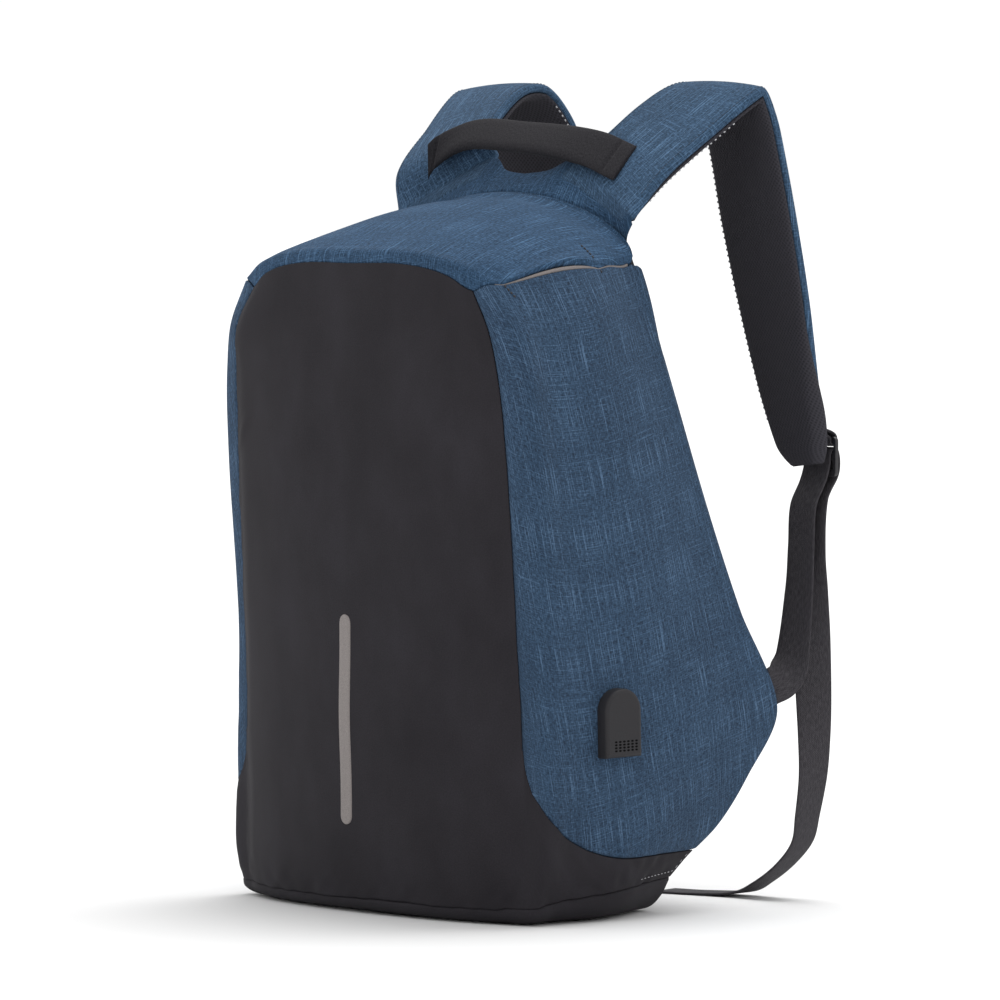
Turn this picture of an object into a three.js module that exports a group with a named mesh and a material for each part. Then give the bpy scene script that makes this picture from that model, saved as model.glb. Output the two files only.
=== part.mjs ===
// Anti theft backpack: a hollow bag of sewn, foam lined panels, with a carry handle and two padded straps.
// Millimetres, +Z up. The front faces -Y and the wearer's back lies towards +Y.
// The origin is the middle of the flat underside of the base.
import * as THREE from "three";

// Sizes of the bag
const BAG_HEIGHT = 415; // top edge of the black front at its middle
const BAG_WIDTH = 320; // over the sides at their widest
const BAG_DEPTH = 236; // from the middle of the front to the low back corner
const BASE_SETBACK = 90; // from the middle of the front to the origin
const DOME_RISE = 46; // the top panel rises this much from the slits to its back edge
const DOME_PUFF = 3; // how far the filled top panel swells between its seams
const WALL = 3; // fabric, foam and lining of a panel
const BACK_WALL = 7; // the padded back panel
const SEAM_DIP = 2.5; // how deep a seam pulls the panels in
const SEAM_REACH = 12; // how far from the seam the dip reaches
const GAP = 0.3; // between neighbouring pieces
const LIP_LIFT = 4.5; // the top panel's free edge stands off the side panel over each slit
const FLAT_INSET = 28; // from the base seam to the flat underside
const LOWER_WRAP = 40; // height of the black wrap at the back of each side
const WRAP_RISE = 75; // the wrap's edge climbs this much more to the front seam

// Sizes of the trims
const STRIPE_LENGTH = 134;
const STRIPE_WIDTH = 11;
const STRIPE_THICKNESS = 0.8;
const STRIPE_MIDDLE = 122; // height of its middle over the floor
const TRIM_THICKNESS = 0.8;
const TRIM_INSET = 0.5;
const TRIM_CLEARANCE = 1.9; // from the trim's upper edge to the lip over it
const ZIP_WIDTH = 6;
const ZIP_THICKNESS = 2;
const ZIP_INSET = 0.5; // under the faces of the panels beside it
const ZIP_START = 0.13; // level of its low ends
const SLIDER_LENGTH = 14;
const SLIDER_WIDTH = 8;
const SLIDER_THICKNESS = 3;
const SLIDER_MIDDLE = 257; // height of its middle over the floor
const SLIDER_LIFT = 1.4; // off the zip's tape
const PORT_WIDTH = 32;
const PORT_HEIGHT = 42.5;
const PORT_RAISE = 7;
const PORT_BEVEL = 2;
const PORT_SETBACK = 89; // from the middle of the front to the middle of the port
const PORT_MIDDLE = 126.5; // height of its middle over the floor

// Sizes of the carrying system
const STRAP_RISE = 71; // from the top of the filled top panel to the folded straps
const SHELL_THICKNESS = 6;
const SHELL_CROWN = 2;
const MESH_THICKNESS = 5;
const YOKE_THICKNESS = 5;
const UNDER_YOKE = 1.8; // from the yoke's underside to the edge of the back panel
const LEFT_STRAP_FORWARD = 20; // the left strap stands this much further forward before its fold
const HANDLE_THICKNESS = 7;
const HANDLE_WIDTH = 26;
const WEBBING_WIDTH = 25;
const WEBBING_THICKNESS = 1.6;
const TAIL_DROP = 290; // height of the adjuster, from which the webbing's free tail hangs
const LOCK_HEIGHT = 26;
const LOCK_WIDTH = 31;
const LOCK_THICKNESS = 2.8;
const LOCK_BAR = 4.5;
const LOOP_LENGTH = 7;
const LOOP_THICKNESS = 3.6;

const HALF_WIDTH = BAG_WIDTH / 2;
const STRAP_TOP = BAG_HEIGHT + DOME_RISE + STRAP_RISE;

// A table: the names of its columns, then one row of values a line.
function table(names, rows) {
  return rows.map((row) => Object.fromEntries(names.split(" ").map((name, i) => [name, row[i]])));
}

// Level sections of the bag, from the base seam up.
// level: share of the height; x columns: shares of half the width; front and the y columns: shares of the
// depth, from the front.
const SECTIONS = table("level front seamX seamY cornerX cornerY sideX backX backY midY", [
  [0, 0.032, 0.806, 0.11, 0.905, 0.14, 0.9, 0.715, 0.65, 0.685],
  [0.022, 0.028, 0.825, 0.114, 0.924, 0.142, 0.918, 0.735, 0.672, 0.706],
  [0.075, 0.012, 0.869, 0.121, 0.968, 0.14, 0.965, 0.81, 0.735, 0.789],
  [0.13, 0.006, 0.881, 0.127, 0.985, 0.147, 0.985, 0.868, 0.822, 0.868],
  [0.205, 0.002, 0.887, 0.131, 0.988, 0.152, 0.996, 0.908, 0.908, 0.963],
  [0.31, 0, 0.887, 0.129, 0.978, 0.154, 1, 0.927, 1.008, 1.04],
  [0.45, 0, 0.869, 0.121, 0.97, 0.148, 1, 0.912, 0.893, 0.926],
  [0.6, 0, 0.853, 0.11, 0.975, 0.133, 0.994, 0.881, 0.793, 0.838],
  [0.77, 0, 0.829, 0.096, 0.972, 0.112, 0.975, 0.838, 0.7, 0.746],
  [0.86, 0.002, 0.812, 0.08, 0.95, 0.102, 0.944, 0.806, 0.656, 0.703],
  [0.93, 0.006, 0.76, 0.066, 0.878, 0.093, 0.9, 0.772, 0.625, 0.672],
  [1, 0.017, 0.7, 0.051, 0.79, 0.081, 0.85, 0.738, 0.592, 0.627],
]);

// Height of the panels' upper edges, from the middle of the front (turn 0) past the front seam (1)
// and the back corner (2) to the middle of the back (3), as shares of the height.
const RIM = table("turn height", [
  [0, 1],
  [0.35, 0.998],
  [0.6, 0.99],
  [0.8, 0.976],
  [1, 0.957],
  [1.06, 0.969],
  [1.15, 0.974],
  [1.5, 0.988],
  [1.8, 0.998],
  [2, 1],
  [2.06, 1.038],
  [2.15, 1.072],
  [2.4, 1.104],
  [2.62, 1.142],
  [2.75, 1.14],
  [2.9, 1.128],
  [3, 1.125],
]);

// Height of the seam between the base and the walls, as a share of the height.
const BASE_SEAM = table("turn height", [
  [0, 0.022],
  [1, 0.024],
  [1.3, 0.038],
  [2, 0.054],
  [3, 0.06],
]);

// Upper edge of the yoke, right half, to the root of the strap: x as a share of half the width,
// y as a share of the depth, z as a share of the straps' height.
const YOKE_EDGE = table("place x y z", [
  [0, 0, 0.64, 0.89],
  [0.2, 0.14, 0.65, 0.895],
  [0.37, 0.262, 0.678, 0.91],
  [0.69, 0.488, 0.64, 0.875],
  [1, 0.712, 0.602, 0.84],
]);
const STRAP_ROOT = 0.37; // place on the yoke's edge where the strap's inner edge starts

// The two edges of the right strap from the yoke over the fold to the pad's end.
// x as shares of half the width, y of the depth from the front, z of the straps' height; sway: how far
// the left strap leans forward there.
const STRAP_EDGES = table("place innerX innerY innerZ outerX outerY outerZ sway", [
  [0, 0.262, 0.678, 0.91, 0.712, 0.602, 0.84, 0],
  [0.08, 0.306, 0.747, 0.937, 0.763, 0.69, 0.891, 0.9],
  [0.17, 0.35, 0.845, 0.974, 0.831, 0.83, 0.945, 1],
  [0.24, 0.388, 0.936, 0.998, 0.894, 0.945, 0.987, 0.85],
  [0.28, 0.394, 1.01, 0.998, 0.9, 0.985, 0.992, 0.65],
  [0.33, 0.4, 1.072, 0.965, 0.903, 1.022, 0.962, 0.4],
  [0.4, 0.413, 1.103, 0.927, 0.909, 1.044, 0.927, 0.2],
  [0.55, 0.45, 1.13, 0.83, 0.922, 1.09, 0.83, 0],
  [0.7, 0.5, 1.16, 0.733, 0.938, 1.126, 0.733, 0],
  [0.85, 0.575, 1.186, 0.635, 0.95, 1.152, 0.635, 0],
  [0.94, 0.65, 1.19, 0.578, 0.956, 1.17, 0.578, 0],
  [1, 0.731, 1.188, 0.533, 0.95, 1.176, 0.54, 0],
]);

// Middle line of the carry handle from its left tab to its right one, with the slope of its width.
// x as a share of half the width, y of the depth, z of the straps' height; width and thick as shares of
// the handle's own; slope: how far its width leans back, in degrees.
const HANDLE_LINE = table("place x y z width thick slope", [
  [0, -0.54, 0.572, 0.8895, 0.92, 0.45, 29],
  [0.1, -0.5, 0.598, 0.914, 0.92, 0.6, 32],
  [0.25, -0.34, 0.635, 0.936, 0.96, 1, 40],
  [0.5, -0.05, 0.645, 0.934, 1, 1, 46],
  [0.75, 0.22, 0.655, 0.927, 1.08, 1, 46],
  [0.9, 0.39, 0.668, 0.918, 1.12, 0.6, 43],
  [1, 0.51, 0.676, 0.9055, 1.15, 0.45, 43],
]);

// The right webbing: from its seam at the low back corner up to the adjuster, over its bar, and down as
// a free tail that lies on the floor. x as shares of half the width, y of the depth, z of the tail's drop;
// across: direction of the webbing's width in plan, in degrees from +X; tilt: its rise out of level.
const WEBBING_LINE = table("place x y z across tilt", [
  [0, 0.91, 1.02, 0.475, 90, -70],
  [0.04, 0.91, 1.05, 0.497, 60, -50],
  [0.09, 0.884, 1.09, 0.55, 20, -18],
  [0.17, 0.862, 1.128, 0.7, 4, 0],
  [0.25, 0.85, 1.143, 0.8, 0, 0],
  [0.31, 0.84, 1.157, 0.89, 0, 0],
  [0.35, 0.838, 1.194, 0.945, 0, 0],
  [0.375, 0.838, 1.209, 0.98, 0, 0],
  [0.39, 0.838, 1.212, 1.006, 0, 0],
  [0.4, 0.838, 1.226, 1.018, 0, 0],
  [0.41, 0.838, 1.24, 1.012, 0, 0],
  [0.425, 0.838, 1.246, 0.985, 0, 0],
  [0.445, 0.838, 1.239, 0.955, 0, 0],
  [0.47, 0.84, 1.195, 0.903, 6, 0],
  [0.52, 0.838, 1.178, 0.783, 20, 0],
  [0.56, 0.825, 1.188, 0.697, 40, 0],
  [0.61, 0.812, 1.206, 0.586, 58, 0],
  [0.67, 0.794, 1.225, 0.455, 70, 0],
  [0.72, 0.788, 1.231, 0.369, 80, 0],
  [0.77, 0.781, 1.231, 0.279, 90, 0],
  [0.81, 0.762, 1.222, 0.19, 98, 0],
  [0.84, 0.738, 1.218, 0.131, 103, 0],
  [0.87, 0.675, 1.195, 0.08, 105, 0],
  [0.9, 0.581, 1.172, 0.038, 104, 0],
  [0.93, 0.475, 1.157, 0.011, 100, 0],
  [0.965, 0.281, 1.118, 0.0034, 104, 0],
  [1, 0.125, 1.082, 0.0034, 106, 0],
]);
const WEBBING_TURN = 0.4; // place where the webbing passes through the adjuster
const ANCHOR_REACH = 0.09; // up to this place the webbing bends away from its seam

// Finishes
const FINISH = {
  heather: { color: "#46647f", roughness: 0.9, metalness: 0 },
  blackCloth: { color: "#333236", roughness: 0.62, metalness: 0 },
  airMesh: { color: "#2e2d32", roughness: 0.95, metalness: 0 },
  webbing: { color: "#38363a", roughness: 0.8, metalness: 0 },
  reflective: { color: "#8a8180", roughness: 0.45, metalness: 0 },
  plastic: { color: "#2d2c30", roughness: 0.55, metalness: 0 },
};

// The smooth line through one column of a table, read at a value of its key column.
function column(rows, key, name) {
  const at = rows.map((row) => row[key]);
  const value = rows.map((row) => row[name]);
  const last = rows.length - 1;
  const slope = at.map((_, i) => {
    const before = Math.max(i - 1, 0);
    const after = Math.min(i + 1, last);
    return (value[after] - value[before]) / (at[after] - at[before]);
  });
  return (wanted) => {
    const x = Math.min(Math.max(wanted, at[0]), at[last]);
    const i = Math.min(Math.max(at.findIndex((a) => a >= x) - 1, 0), last - 1);
    const span = at[i + 1] - at[i];
    const f = (x - at[i]) / span;
    const rise = value[i + 1] - value[i];
    const bend = (slope[i] * span - rise) * (1 - f) - (slope[i + 1] * span - rise) * f;
    return value[i] + rise * f + bend * f * (1 - f);
  };
}

// One smooth line for every column of a table but its key.
function columns(rows, key) {
  const names = Object.keys(rows[0]).filter((name) => name !== key);
  const lines = Object.fromEntries(names.map((name) => [name, column(rows, key, name)]));
  return (at) => Object.fromEntries(names.map((name) => [name, lines[name](at)]));
}

const sectionAt = columns(SECTIONS, "level");
const rimShare = column(RIM, "turn", "height");
const baseSeamShare = column(BASE_SEAM, "turn", "height");
const yokeEdgeAt = columns(YOKE_EDGE, "place");
const strapEdgesAt = columns(STRAP_EDGES, "place");
const handleAt = columns(HANDLE_LINE, "place");
const webbingAt = columns(WEBBING_LINE, "place");

const setback = (share) => share * BAG_DEPTH - BASE_SETBACK;
const mix = (a, b, f) => a + (b - a) * f;

// A point of the bag's outside. turn runs round the bag: 0 front middle, 1 front seam, 2 back corner,
// 3 back middle, negative on the left; level runs from the floor (0) to the panels' upper edge (1).
function outside(turn, level) {
  const s = sectionAt(level);
  const spread = s.backY - s.cornerY;
  const walls = [
    { turn: -0.5, x: -0.52 * s.seamX, y: mix(s.front, s.seamY, 0.2) },
    { turn: 0, x: 0, y: s.front },
    { turn: 0.5, x: 0.52 * s.seamX, y: mix(s.front, s.seamY, 0.2) },
    { turn: 0.83, x: 0.84 * s.seamX, y: mix(s.front, s.seamY, 0.62) },
    { turn: 1, x: s.seamX, y: s.seamY },
    { turn: 1.1, x: s.cornerX, y: s.cornerY },
    { turn: 1.25, x: mix(s.cornerX, s.sideX, 0.85), y: s.cornerY + 0.14 * spread },
    { turn: 1.6, x: s.sideX, y: s.cornerY + 0.52 * spread },
    { turn: 2, x: s.backX, y: s.backY },
  ];
  const back = [
    { turn: 2, x: s.backX, y: s.backY },
    { turn: 2.1, x: s.backX - 0.07, y: mix(s.backY, s.midY, 0.3) },
    { turn: 3, x: 0, y: s.midY },
    { turn: 3.9, x: -s.backX + 0.07, y: mix(s.backY, s.midY, 0.3) },
  ];
  const side = Math.sign(turn) || 1;
  const around = Math.abs(turn);
  const outline = around < 2 ? walls : back;
  const x = side * column(outline, "turn", "x")(around) * HALF_WIDTH;
  const y = setback(column(outline, "turn", "y")(around));
  return new THREE.Vector3(x, y, level * rimShare(around) * BAG_HEIGHT);
}

// The box inside the bag that its walls are thickened towards.
const CORE = new THREE.Box3(
  new THREE.Vector3(-0.6 * HALF_WIDTH, setback(0.17), 0.075 * BAG_HEIGHT),
  new THREE.Vector3(0.6 * HALF_WIDTH, setback(0.44), 0.9 * BAG_HEIGHT),
);

function inward(point) {
  const target = CORE.clampPoint(point, new THREE.Vector3());
  return target.sub(point).normalize();
}

const bump = (distance, reach) => Math.exp(-((distance / reach) ** 2));

// Upper edge of the black wrap on a side, as a level: it sweeps down from the front seam.
function wrapLevel(turn) {
  const along = Math.min((Math.abs(turn) - 1) / 0.62, 1);
  const climb = 1 - Math.sqrt(1 - (1 - along) ** 2);
  return (LOWER_WRAP + WRAP_RISE * climb) / BAG_HEIGHT;
}

// A point of the bag's outside with its seams pulled in.
function surface(turn, level) {
  const point = outside(turn, level);
  const around = Math.abs(turn);
  const front = outside(1, level).x - Math.abs(point.x);
  const frontSeam = around < 1.3 ? bump(front, SEAM_REACH) * (level > wrapLevel(1) ? 1 : 0.3) : 0;
  const wrapSeam = around > 1 ? 0.5 * bump((level - wrapLevel(turn)) * BAG_HEIGHT, SEAM_REACH) : 0;
  const dip = SEAM_DIP * Math.min(frontSeam + wrapSeam, 1);
  return point.addScaledVector(inward(point), dip);
}

// Shares from 0 to 1, closer together near both ends.
const spaced = (count) =>
  Array.from({ length: count + 1 }, (_, i) => (1 - Math.cos((Math.PI * i) / count)) / 2);

// Places where the panels' grids run up the bag. Panels that meet in a seam share them.
const FRONT_TURNS = spaced(16).map((f) => mix(-1, 1, f));
const SIDE_SHARES = [0, 0.03, 0.065, 0.1, 0.15, 0.22, 0.32, 0.45, 0.58, 0.71, 0.83, 0.93, 1];
const SIDE_TURNS = SIDE_SHARES.map((f) => mix(1, 2, f));
const BACK_TURNS = spaced(18).map((f) => mix(2, 4, f));
const SIDE_ROWS = spaced(14);

// A geometry from points and triangles, turned so that its faces point out.
function solid(points, triangles) {
  const a = new THREE.Vector3();
  const volume = triangles.reduce(
    (sum, [i, j, k]) => sum + points[i].dot(a.crossVectors(points[j], points[k])),
    0,
  );
  const turned = volume < 0 ? triangles.map(([i, j, k]) => [i, k, j]) : triangles;
  const geometry = new THREE.BufferGeometry();
  geometry.setAttribute(
    "position",
    new THREE.Float32BufferAttribute(points.flatMap((p) => [p.x, p.y, p.z]), 3),
  );
  geometry.setIndex(turned.flat());
  geometry.computeVertexNormals();
  return geometry;
}

// A sheet of cloth: outer points over a grid, thickened and closed round its edges.
// covered leaves cells of the grid out.
function sheet({ across, up, outer, thickness, direction = inward, covered = () => true }) {
  const points = [];
  across.forEach((u) =>
    up.forEach((v) => {
      const point = outer(u, v);
      points.push(point, point.clone().addScaledVector(direction(point), thickness));
    }),
  );
  const index = (i, j, inside) => 2 * (i * up.length + j) + inside;
  const isCovered = (i, j) =>
    i >= 0 && j >= 0 && i < across.length - 1 && j < up.length - 1 && covered(i, j);
  const triangles = [];
  const quad = (a, b, c, d) => triangles.push([a, b, c], [a, c, d]);
  for (let i = 0; i < across.length - 1; i++) {
    for (let j = 0; j < up.length - 1; j++) {
      if (!isCovered(i, j)) continue;
      quad(index(i, j, 0), index(i + 1, j, 0), index(i + 1, j + 1, 0), index(i, j + 1, 0));
      quad(index(i, j, 1), index(i, j + 1, 1), index(i + 1, j + 1, 1), index(i + 1, j, 1));
      const rims = [
        [isCovered(i, j - 1), [i, j], [i + 1, j]],
        [isCovered(i + 1, j), [i + 1, j], [i + 1, j + 1]],
        [isCovered(i, j + 1), [i + 1, j + 1], [i, j + 1]],
        [isCovered(i - 1, j), [i, j + 1], [i, j]],
      ];
      for (const [joined, from, to] of rims) {
        if (joined) continue;
        quad(index(...from, 1), index(...to, 1), index(...to, 0), index(...from, 0));
      }
    }
  }
  return solid(points, triangles);
}

// A band: a closed section of [share across, height] swept between two edge lines.
// edges gives the two edge points at a place; height is measured along the band's outer side.
// first and last pick the places that the band covers.
function band({ places, edges, section, first = 0, last = places.length - 1 }) {
  const stations = places.map((place) => edges(place));
  const points = [];
  stations.forEach(([inner, outer], i) => {
    if (i < first || i > last) return;
    const before = stations[Math.max(i - 1, 0)];
    const after = stations[Math.min(i + 1, stations.length - 1)];
    const along = after[0].clone().add(after[1]).sub(before[0]).sub(before[1]);
    const width = outer.clone().sub(inner);
    const normal = width.clone().cross(along).normalize();
    for (const [share, height] of section(places[i])) {
      points.push(inner.clone().addScaledVector(width, share).addScaledVector(normal, height));
    }
  });
  const n = section(0).length;
  const triangles = [];
  for (let i = 0; i < last - first; i++) {
    for (let k = 0; k < n; k++) {
      const next = (k + 1) % n;
      triangles.push([i * n + k, i * n + next, (i + 1) * n + next]);
      triangles.push([i * n + k, (i + 1) * n + next, (i + 1) * n + k]);
    }
  }
  const end = (last - first) * n;
  for (let k = 1; k < n - 1; k++) {
    triangles.push([0, k + 1, k], [end, end + k, end + k + 1]);
  }
  return solid(points, triangles);
}

// The same solid on the bag's other side.
function mirrored(geometry) {
  const made = geometry.clone().scale(-1, 1, 1);
  const count = made.getAttribute("position").count;
  const index = made.index ? Array.from(made.index.array) : [...Array(count).keys()];
  for (let i = 0; i < index.length; i += 3) {
    [index[i + 1], index[i + 2]] = [index[i + 2], index[i + 1]];
  }
  made.setIndex(index);
  made.computeVertexNormals();
  return made;
}

// Turns and levels that stop half a gap short of a seam.
function turnNear(turn, level, millimetres) {
  const step = 0.01 * Math.sign(millimetres);
  const pace = outside(turn + step, level).distanceTo(outside(turn, level)) / 0.01;
  return turn + millimetres / pace;
}
const levelNear = (level, millimetres) => level + millimetres / BAG_HEIGHT;
const HALF_GAP = GAP / 2;
const ZIP_TURN = 2 + (ZIP_WIDTH + GAP) / HALF_WIDTH; // where the back panel starts, behind the zip
const YOKE_LEAN = 0.82; // above this level the back panel leans out to the yoke's edge
const YOKE_CORNER = 0.565; // share of half the width past which the back panel ends under the zip
const YOKE_BLEND = 0.14;

// The turn at which a side stands at a given y.
function turnAtSetback(level, y) {
  let low = 1.1;
  let high = 1.95;
  for (let i = 0; i < 20; i++) {
    const middle = (low + high) / 2;
    if (outside(middle, level).y < y) low = middle;
    else high = middle;
  }
  return low;
}

// The black front, with the wraps that reach round the low sides to the back.
function frontPanel() {
  const wrapTurns = SIDE_TURNS.slice(1);
  const turns = [...wrapTurns.map((t) => -t).reverse(), ...FRONT_TURNS, ...wrapTurns];
  const lowRows = 5;
  const up = [
    ...Array.from({ length: lowRows + 1 }, (_, j) => j / lowRows),
    ...SIDE_ROWS.slice(1).map((f) => 1 + f),
  ];
  const outer = (turn, v) => {
    const around = Math.abs(turn);
    const low = levelNear(baseSeamShare(around), HALF_GAP);
    const edge = around > 1 ? levelNear(wrapLevel(turn), -HALF_GAP) : levelNear(wrapLevel(1), -HALF_GAP);
    const level = v <= 1 ? mix(low, edge, v) : mix(edge, levelNear(1, -HALF_GAP), v - 1);
    const stopShort = around >= 0.999 && (v > 1 || around > 1.99);
    const place = stopShort ? turnNear(around, level, -HALF_GAP) * Math.sign(turn) : turn;
    return surface(place, level);
  };
  const first = wrapTurns.length;
  const covered = (i, j) => j < lowRows || (i >= first && i < first + FRONT_TURNS.length - 1);
  return sheet({ across: turns, up, outer, thickness: WALL, covered });
}

// The levels that the side panel's rows reach, and those at the back corner.
const sideLevel = (turn, v) => mix(levelNear(wrapLevel(turn), HALF_GAP), levelNear(1, -HALF_GAP), v);
const CORNER_LEVELS = SIDE_ROWS.map((v) => sideLevel(2, v));

// The right side panel, between the front seam, the slit, the back corner and the black wrap.
function sidePanel() {
  const outer = (u, v) => {
    const level = sideLevel(mix(1, 2, u), v);
    const turn = mix(turnNear(1, level, HALF_GAP), turnNear(2, level, -HALF_GAP), u);
    return surface(turn, level);
  };
  return sheet({ across: SIDE_SHARES, up: SIDE_ROWS, outer, thickness: WALL });
}

// Where the back panel ends over a place x: under the yoke's back edge, and by its corners under the zip.
function backTop(x) {
  const across = Math.min(Math.abs(x) / HALF_WIDTH, YOKE_EDGE.at(-1).x);
  const zip = domeEdge(Math.min(Math.abs(x) / outside(2, 1).x, 1));
  const edgeY = setback(column(YOKE_EDGE, "x", "y")(across));
  const edgeZ = column(YOKE_EDGE, "x", "z")(across) * STRAP_TOP;
  const f = Math.min(Math.max((YOKE_CORNER - across) / YOKE_BLEND, 0), 1);
  return {
    y: Math.max(edgeY, zip.y + ZIP_WIDTH + UNDER_YOKE),
    z: mix(zip.z - ZIP_THICKNESS - UNDER_YOKE, edgeZ - YOKE_THICKNESS - UNDER_YOKE, f),
  };
}

// The padded back panel, plain, between the two zips and up to the yoke.
function backPanel() {
  const outer = (u, level) => {
    const side = u < 3 ? 1 : -1;
    const around = mix(ZIP_TURN, 3, 1 - Math.abs(u - 3));
    const seam = levelNear(baseSeamShare(around), HALF_GAP);
    const point = surface(side * around, Math.max(level, seam));
    const top = surface(side * around, 1);
    const end = backTop(top.x);
    const lean = Math.min(Math.max((level - YOKE_LEAN) / (0.97 - YOKE_LEAN), 0), 1);
    point.y += (end.y - top.y) * lean * lean * (3 - 2 * lean);
    point.z += Math.min(end.z - top.z, 0) * lean;
    return point;
  };
  const up = [0, ...CORNER_LEVELS];
  return sheet({ across: BACK_TURNS, up, outer, thickness: BACK_WALL });
}

// The back edge of the top panel, from the left corner (-1) to the right one (1).
function domeEdge(s) {
  const corner = outside(2, 1);
  const rise = Math.max(1 - s * s, 0) ** 0.6;
  const y = corner.y - 0.046 * BAG_DEPTH * (1 - s * s);
  return new THREE.Vector3(corner.x * s, y, corner.z + DOME_RISE * rise);
}

const lipLift = (r) => LIP_LIFT * Math.sin((Math.PI / 2) * Math.min(r / 0.3, 1)) * (1 - 0.4 * r);

// A point of the filled top panel: s from left (-1) to right (1), r from front (0) to back (1).
function dome(s, r) {
  const side = (r1) => {
    const edge = surface(1 + r1, 1);
    edge.z += GAP;
    return edge;
  };
  const flip = (p) => new THREE.Vector3(-p.x, p.y, p.z);
  const front = surface(s, 1);
  front.z += HALF_GAP;
  const right = side(r);
  const left = flip(right);
  const f = (s + 1) / 2;
  const point = front.multiplyScalar(1 - r).addScaledVector(domeEdge(s), r);
  point.addScaledVector(right, f).addScaledVector(left, 1 - f);
  const corner0 = side(0);
  const corner1 = side(1);
  point.addScaledVector(corner0, -(1 - r) * f).addScaledVector(flip(corner0), -(1 - r) * (1 - f));
  point.addScaledVector(corner1, -r * f).addScaledVector(flip(corner1), -r * (1 - f));
  point.z += DOME_PUFF * (1 - s * s) * Math.sin(Math.PI * r ** 0.75);
  point.z += lipLift(r) * Math.abs(s) ** 12;
  return point;
}

function topPanel() {
  return sheet({ across: FRONT_TURNS, up: SIDE_SHARES, outer: dome, thickness: WALL });
}

// The base: a shallow tray whose flat underside is the face that the bag stands on.
function basePanel() {
  const left = SIDE_TURNS.slice(1, -1).map((turn) => -turn).reverse();
  const back = BACK_TURNS.map((turn) => (turn > 3 ? turn - 6 : turn));
  const around = [...left, ...FRONT_TURNS, ...SIDE_TURNS.slice(1, -1), ...back];
  const seam = around.map((turn) =>
    surface(turn, levelNear(baseSeamShare(Math.abs(turn)), -HALF_GAP)),
  );
  const rings = [
    { inset: 0, height: 1 },
    { inset: 0.1, height: 0.45 },
    { inset: 0.4, height: 0.12 },
    { inset: 1, height: 0 },
  ];
  const middle = new THREE.Vector3(0, setback(0.38), 0);
  const ringPoint = (point, ring) => {
    const toMiddle = middle.clone().sub(point).setZ(0).normalize();
    const made = point.clone().addScaledVector(toMiddle, ring.inset * FLAT_INSET);
    made.z = point.z * ring.height;
    return made;
  };
  const points = rings.flatMap((ring) => seam.map((point) => ringPoint(point, ring)));
  const insideRings = rings.map((ring, r) =>
    seam.map((point) => {
      const made = ringPoint(point, ring);
      if (r === 0) return made.addScaledVector(inward(made), WALL);
      const lean = made.clone().sub(middle).setZ(0).normalize();
      made.addScaledVector(lean, -WALL * ring.height);
      made.z += WALL;
      return made;
    }),
  );
  points.push(...insideRings.flat());
  const n = seam.length;
  const inner = rings.length * n;
  const triangles = [];
  for (let i = 0; i < n; i++) {
    const next = (i + 1) % n;
    for (let r = 0; r < rings.length - 1; r++) {
      const [a, b, c, d] = [r * n + i, r * n + next, (r + 1) * n + next, (r + 1) * n + i];
      triangles.push([a, b, c], [a, c, d]);
      triangles.push([inner + a, inner + c, inner + b], [inner + a, inner + d, inner + c]);
    }
    triangles.push([i, inner + next, next], [i, inner + i, inner + next]);
  }
  const lastRing = (rings.length - 1) * n;
  const flat = seam.map((_, i) => points[lastRing + i]).map((p) => new THREE.Vector2(p.x, p.y));
  for (const [i, j, k] of THREE.ShapeUtils.triangulateShape(flat, [])) {
    triangles.push([lastRing + i, lastRing + j, lastRing + k]);
    triangles.push([inner + lastRing + i, inner + lastRing + k, inner + lastRing + j]);
  }
  return solid(points, triangles);
}

// The grey reflective stripe low on the front, with round ends.
function reflectiveStripe() {
  const outer = (u, v) => {
    const height = STRIPE_MIDDLE + (v - 0.5) * STRIPE_LENGTH;
    const toEnd = STRIPE_LENGTH / 2 - Math.abs(height - STRIPE_MIDDLE);
    const radius = STRIPE_WIDTH / 2;
    const half = toEnd < radius ? Math.sqrt(Math.max(radius ** 2 - (radius - toEnd) ** 2, 0.4)) : radius;
    const front = surface(0, height / BAG_HEIGHT);
    return new THREE.Vector3((u - 0.5) * 2 * half, front.y - GAP - STRIPE_THICKNESS, height);
  };
  const direction = () => new THREE.Vector3(0, 1, 0);
  return sheet({ across: [0, 0.5, 1], up: spaced(16), outer, thickness: STRIPE_THICKNESS, direction });
}

// The grey strip that shows in the right slit, under the lip of the top panel.
function slitTrim() {
  const outer = (u, v) => {
    const r = mix(0.16, 0.97, u);
    const edge = surface(1 + r, 1);
    edge.addScaledVector(inward(edge), TRIM_INSET);
    edge.z += mix(GAP, Math.max(lipLift(r) - TRIM_CLEARANCE, 2 * GAP), v);
    return edge;
  };
  const direction = (point) => inward(point).setZ(0).normalize();
  return sheet({ across: spaced(12), up: [0, 1], outer, thickness: TRIM_THICKNESS, direction });
}

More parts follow.
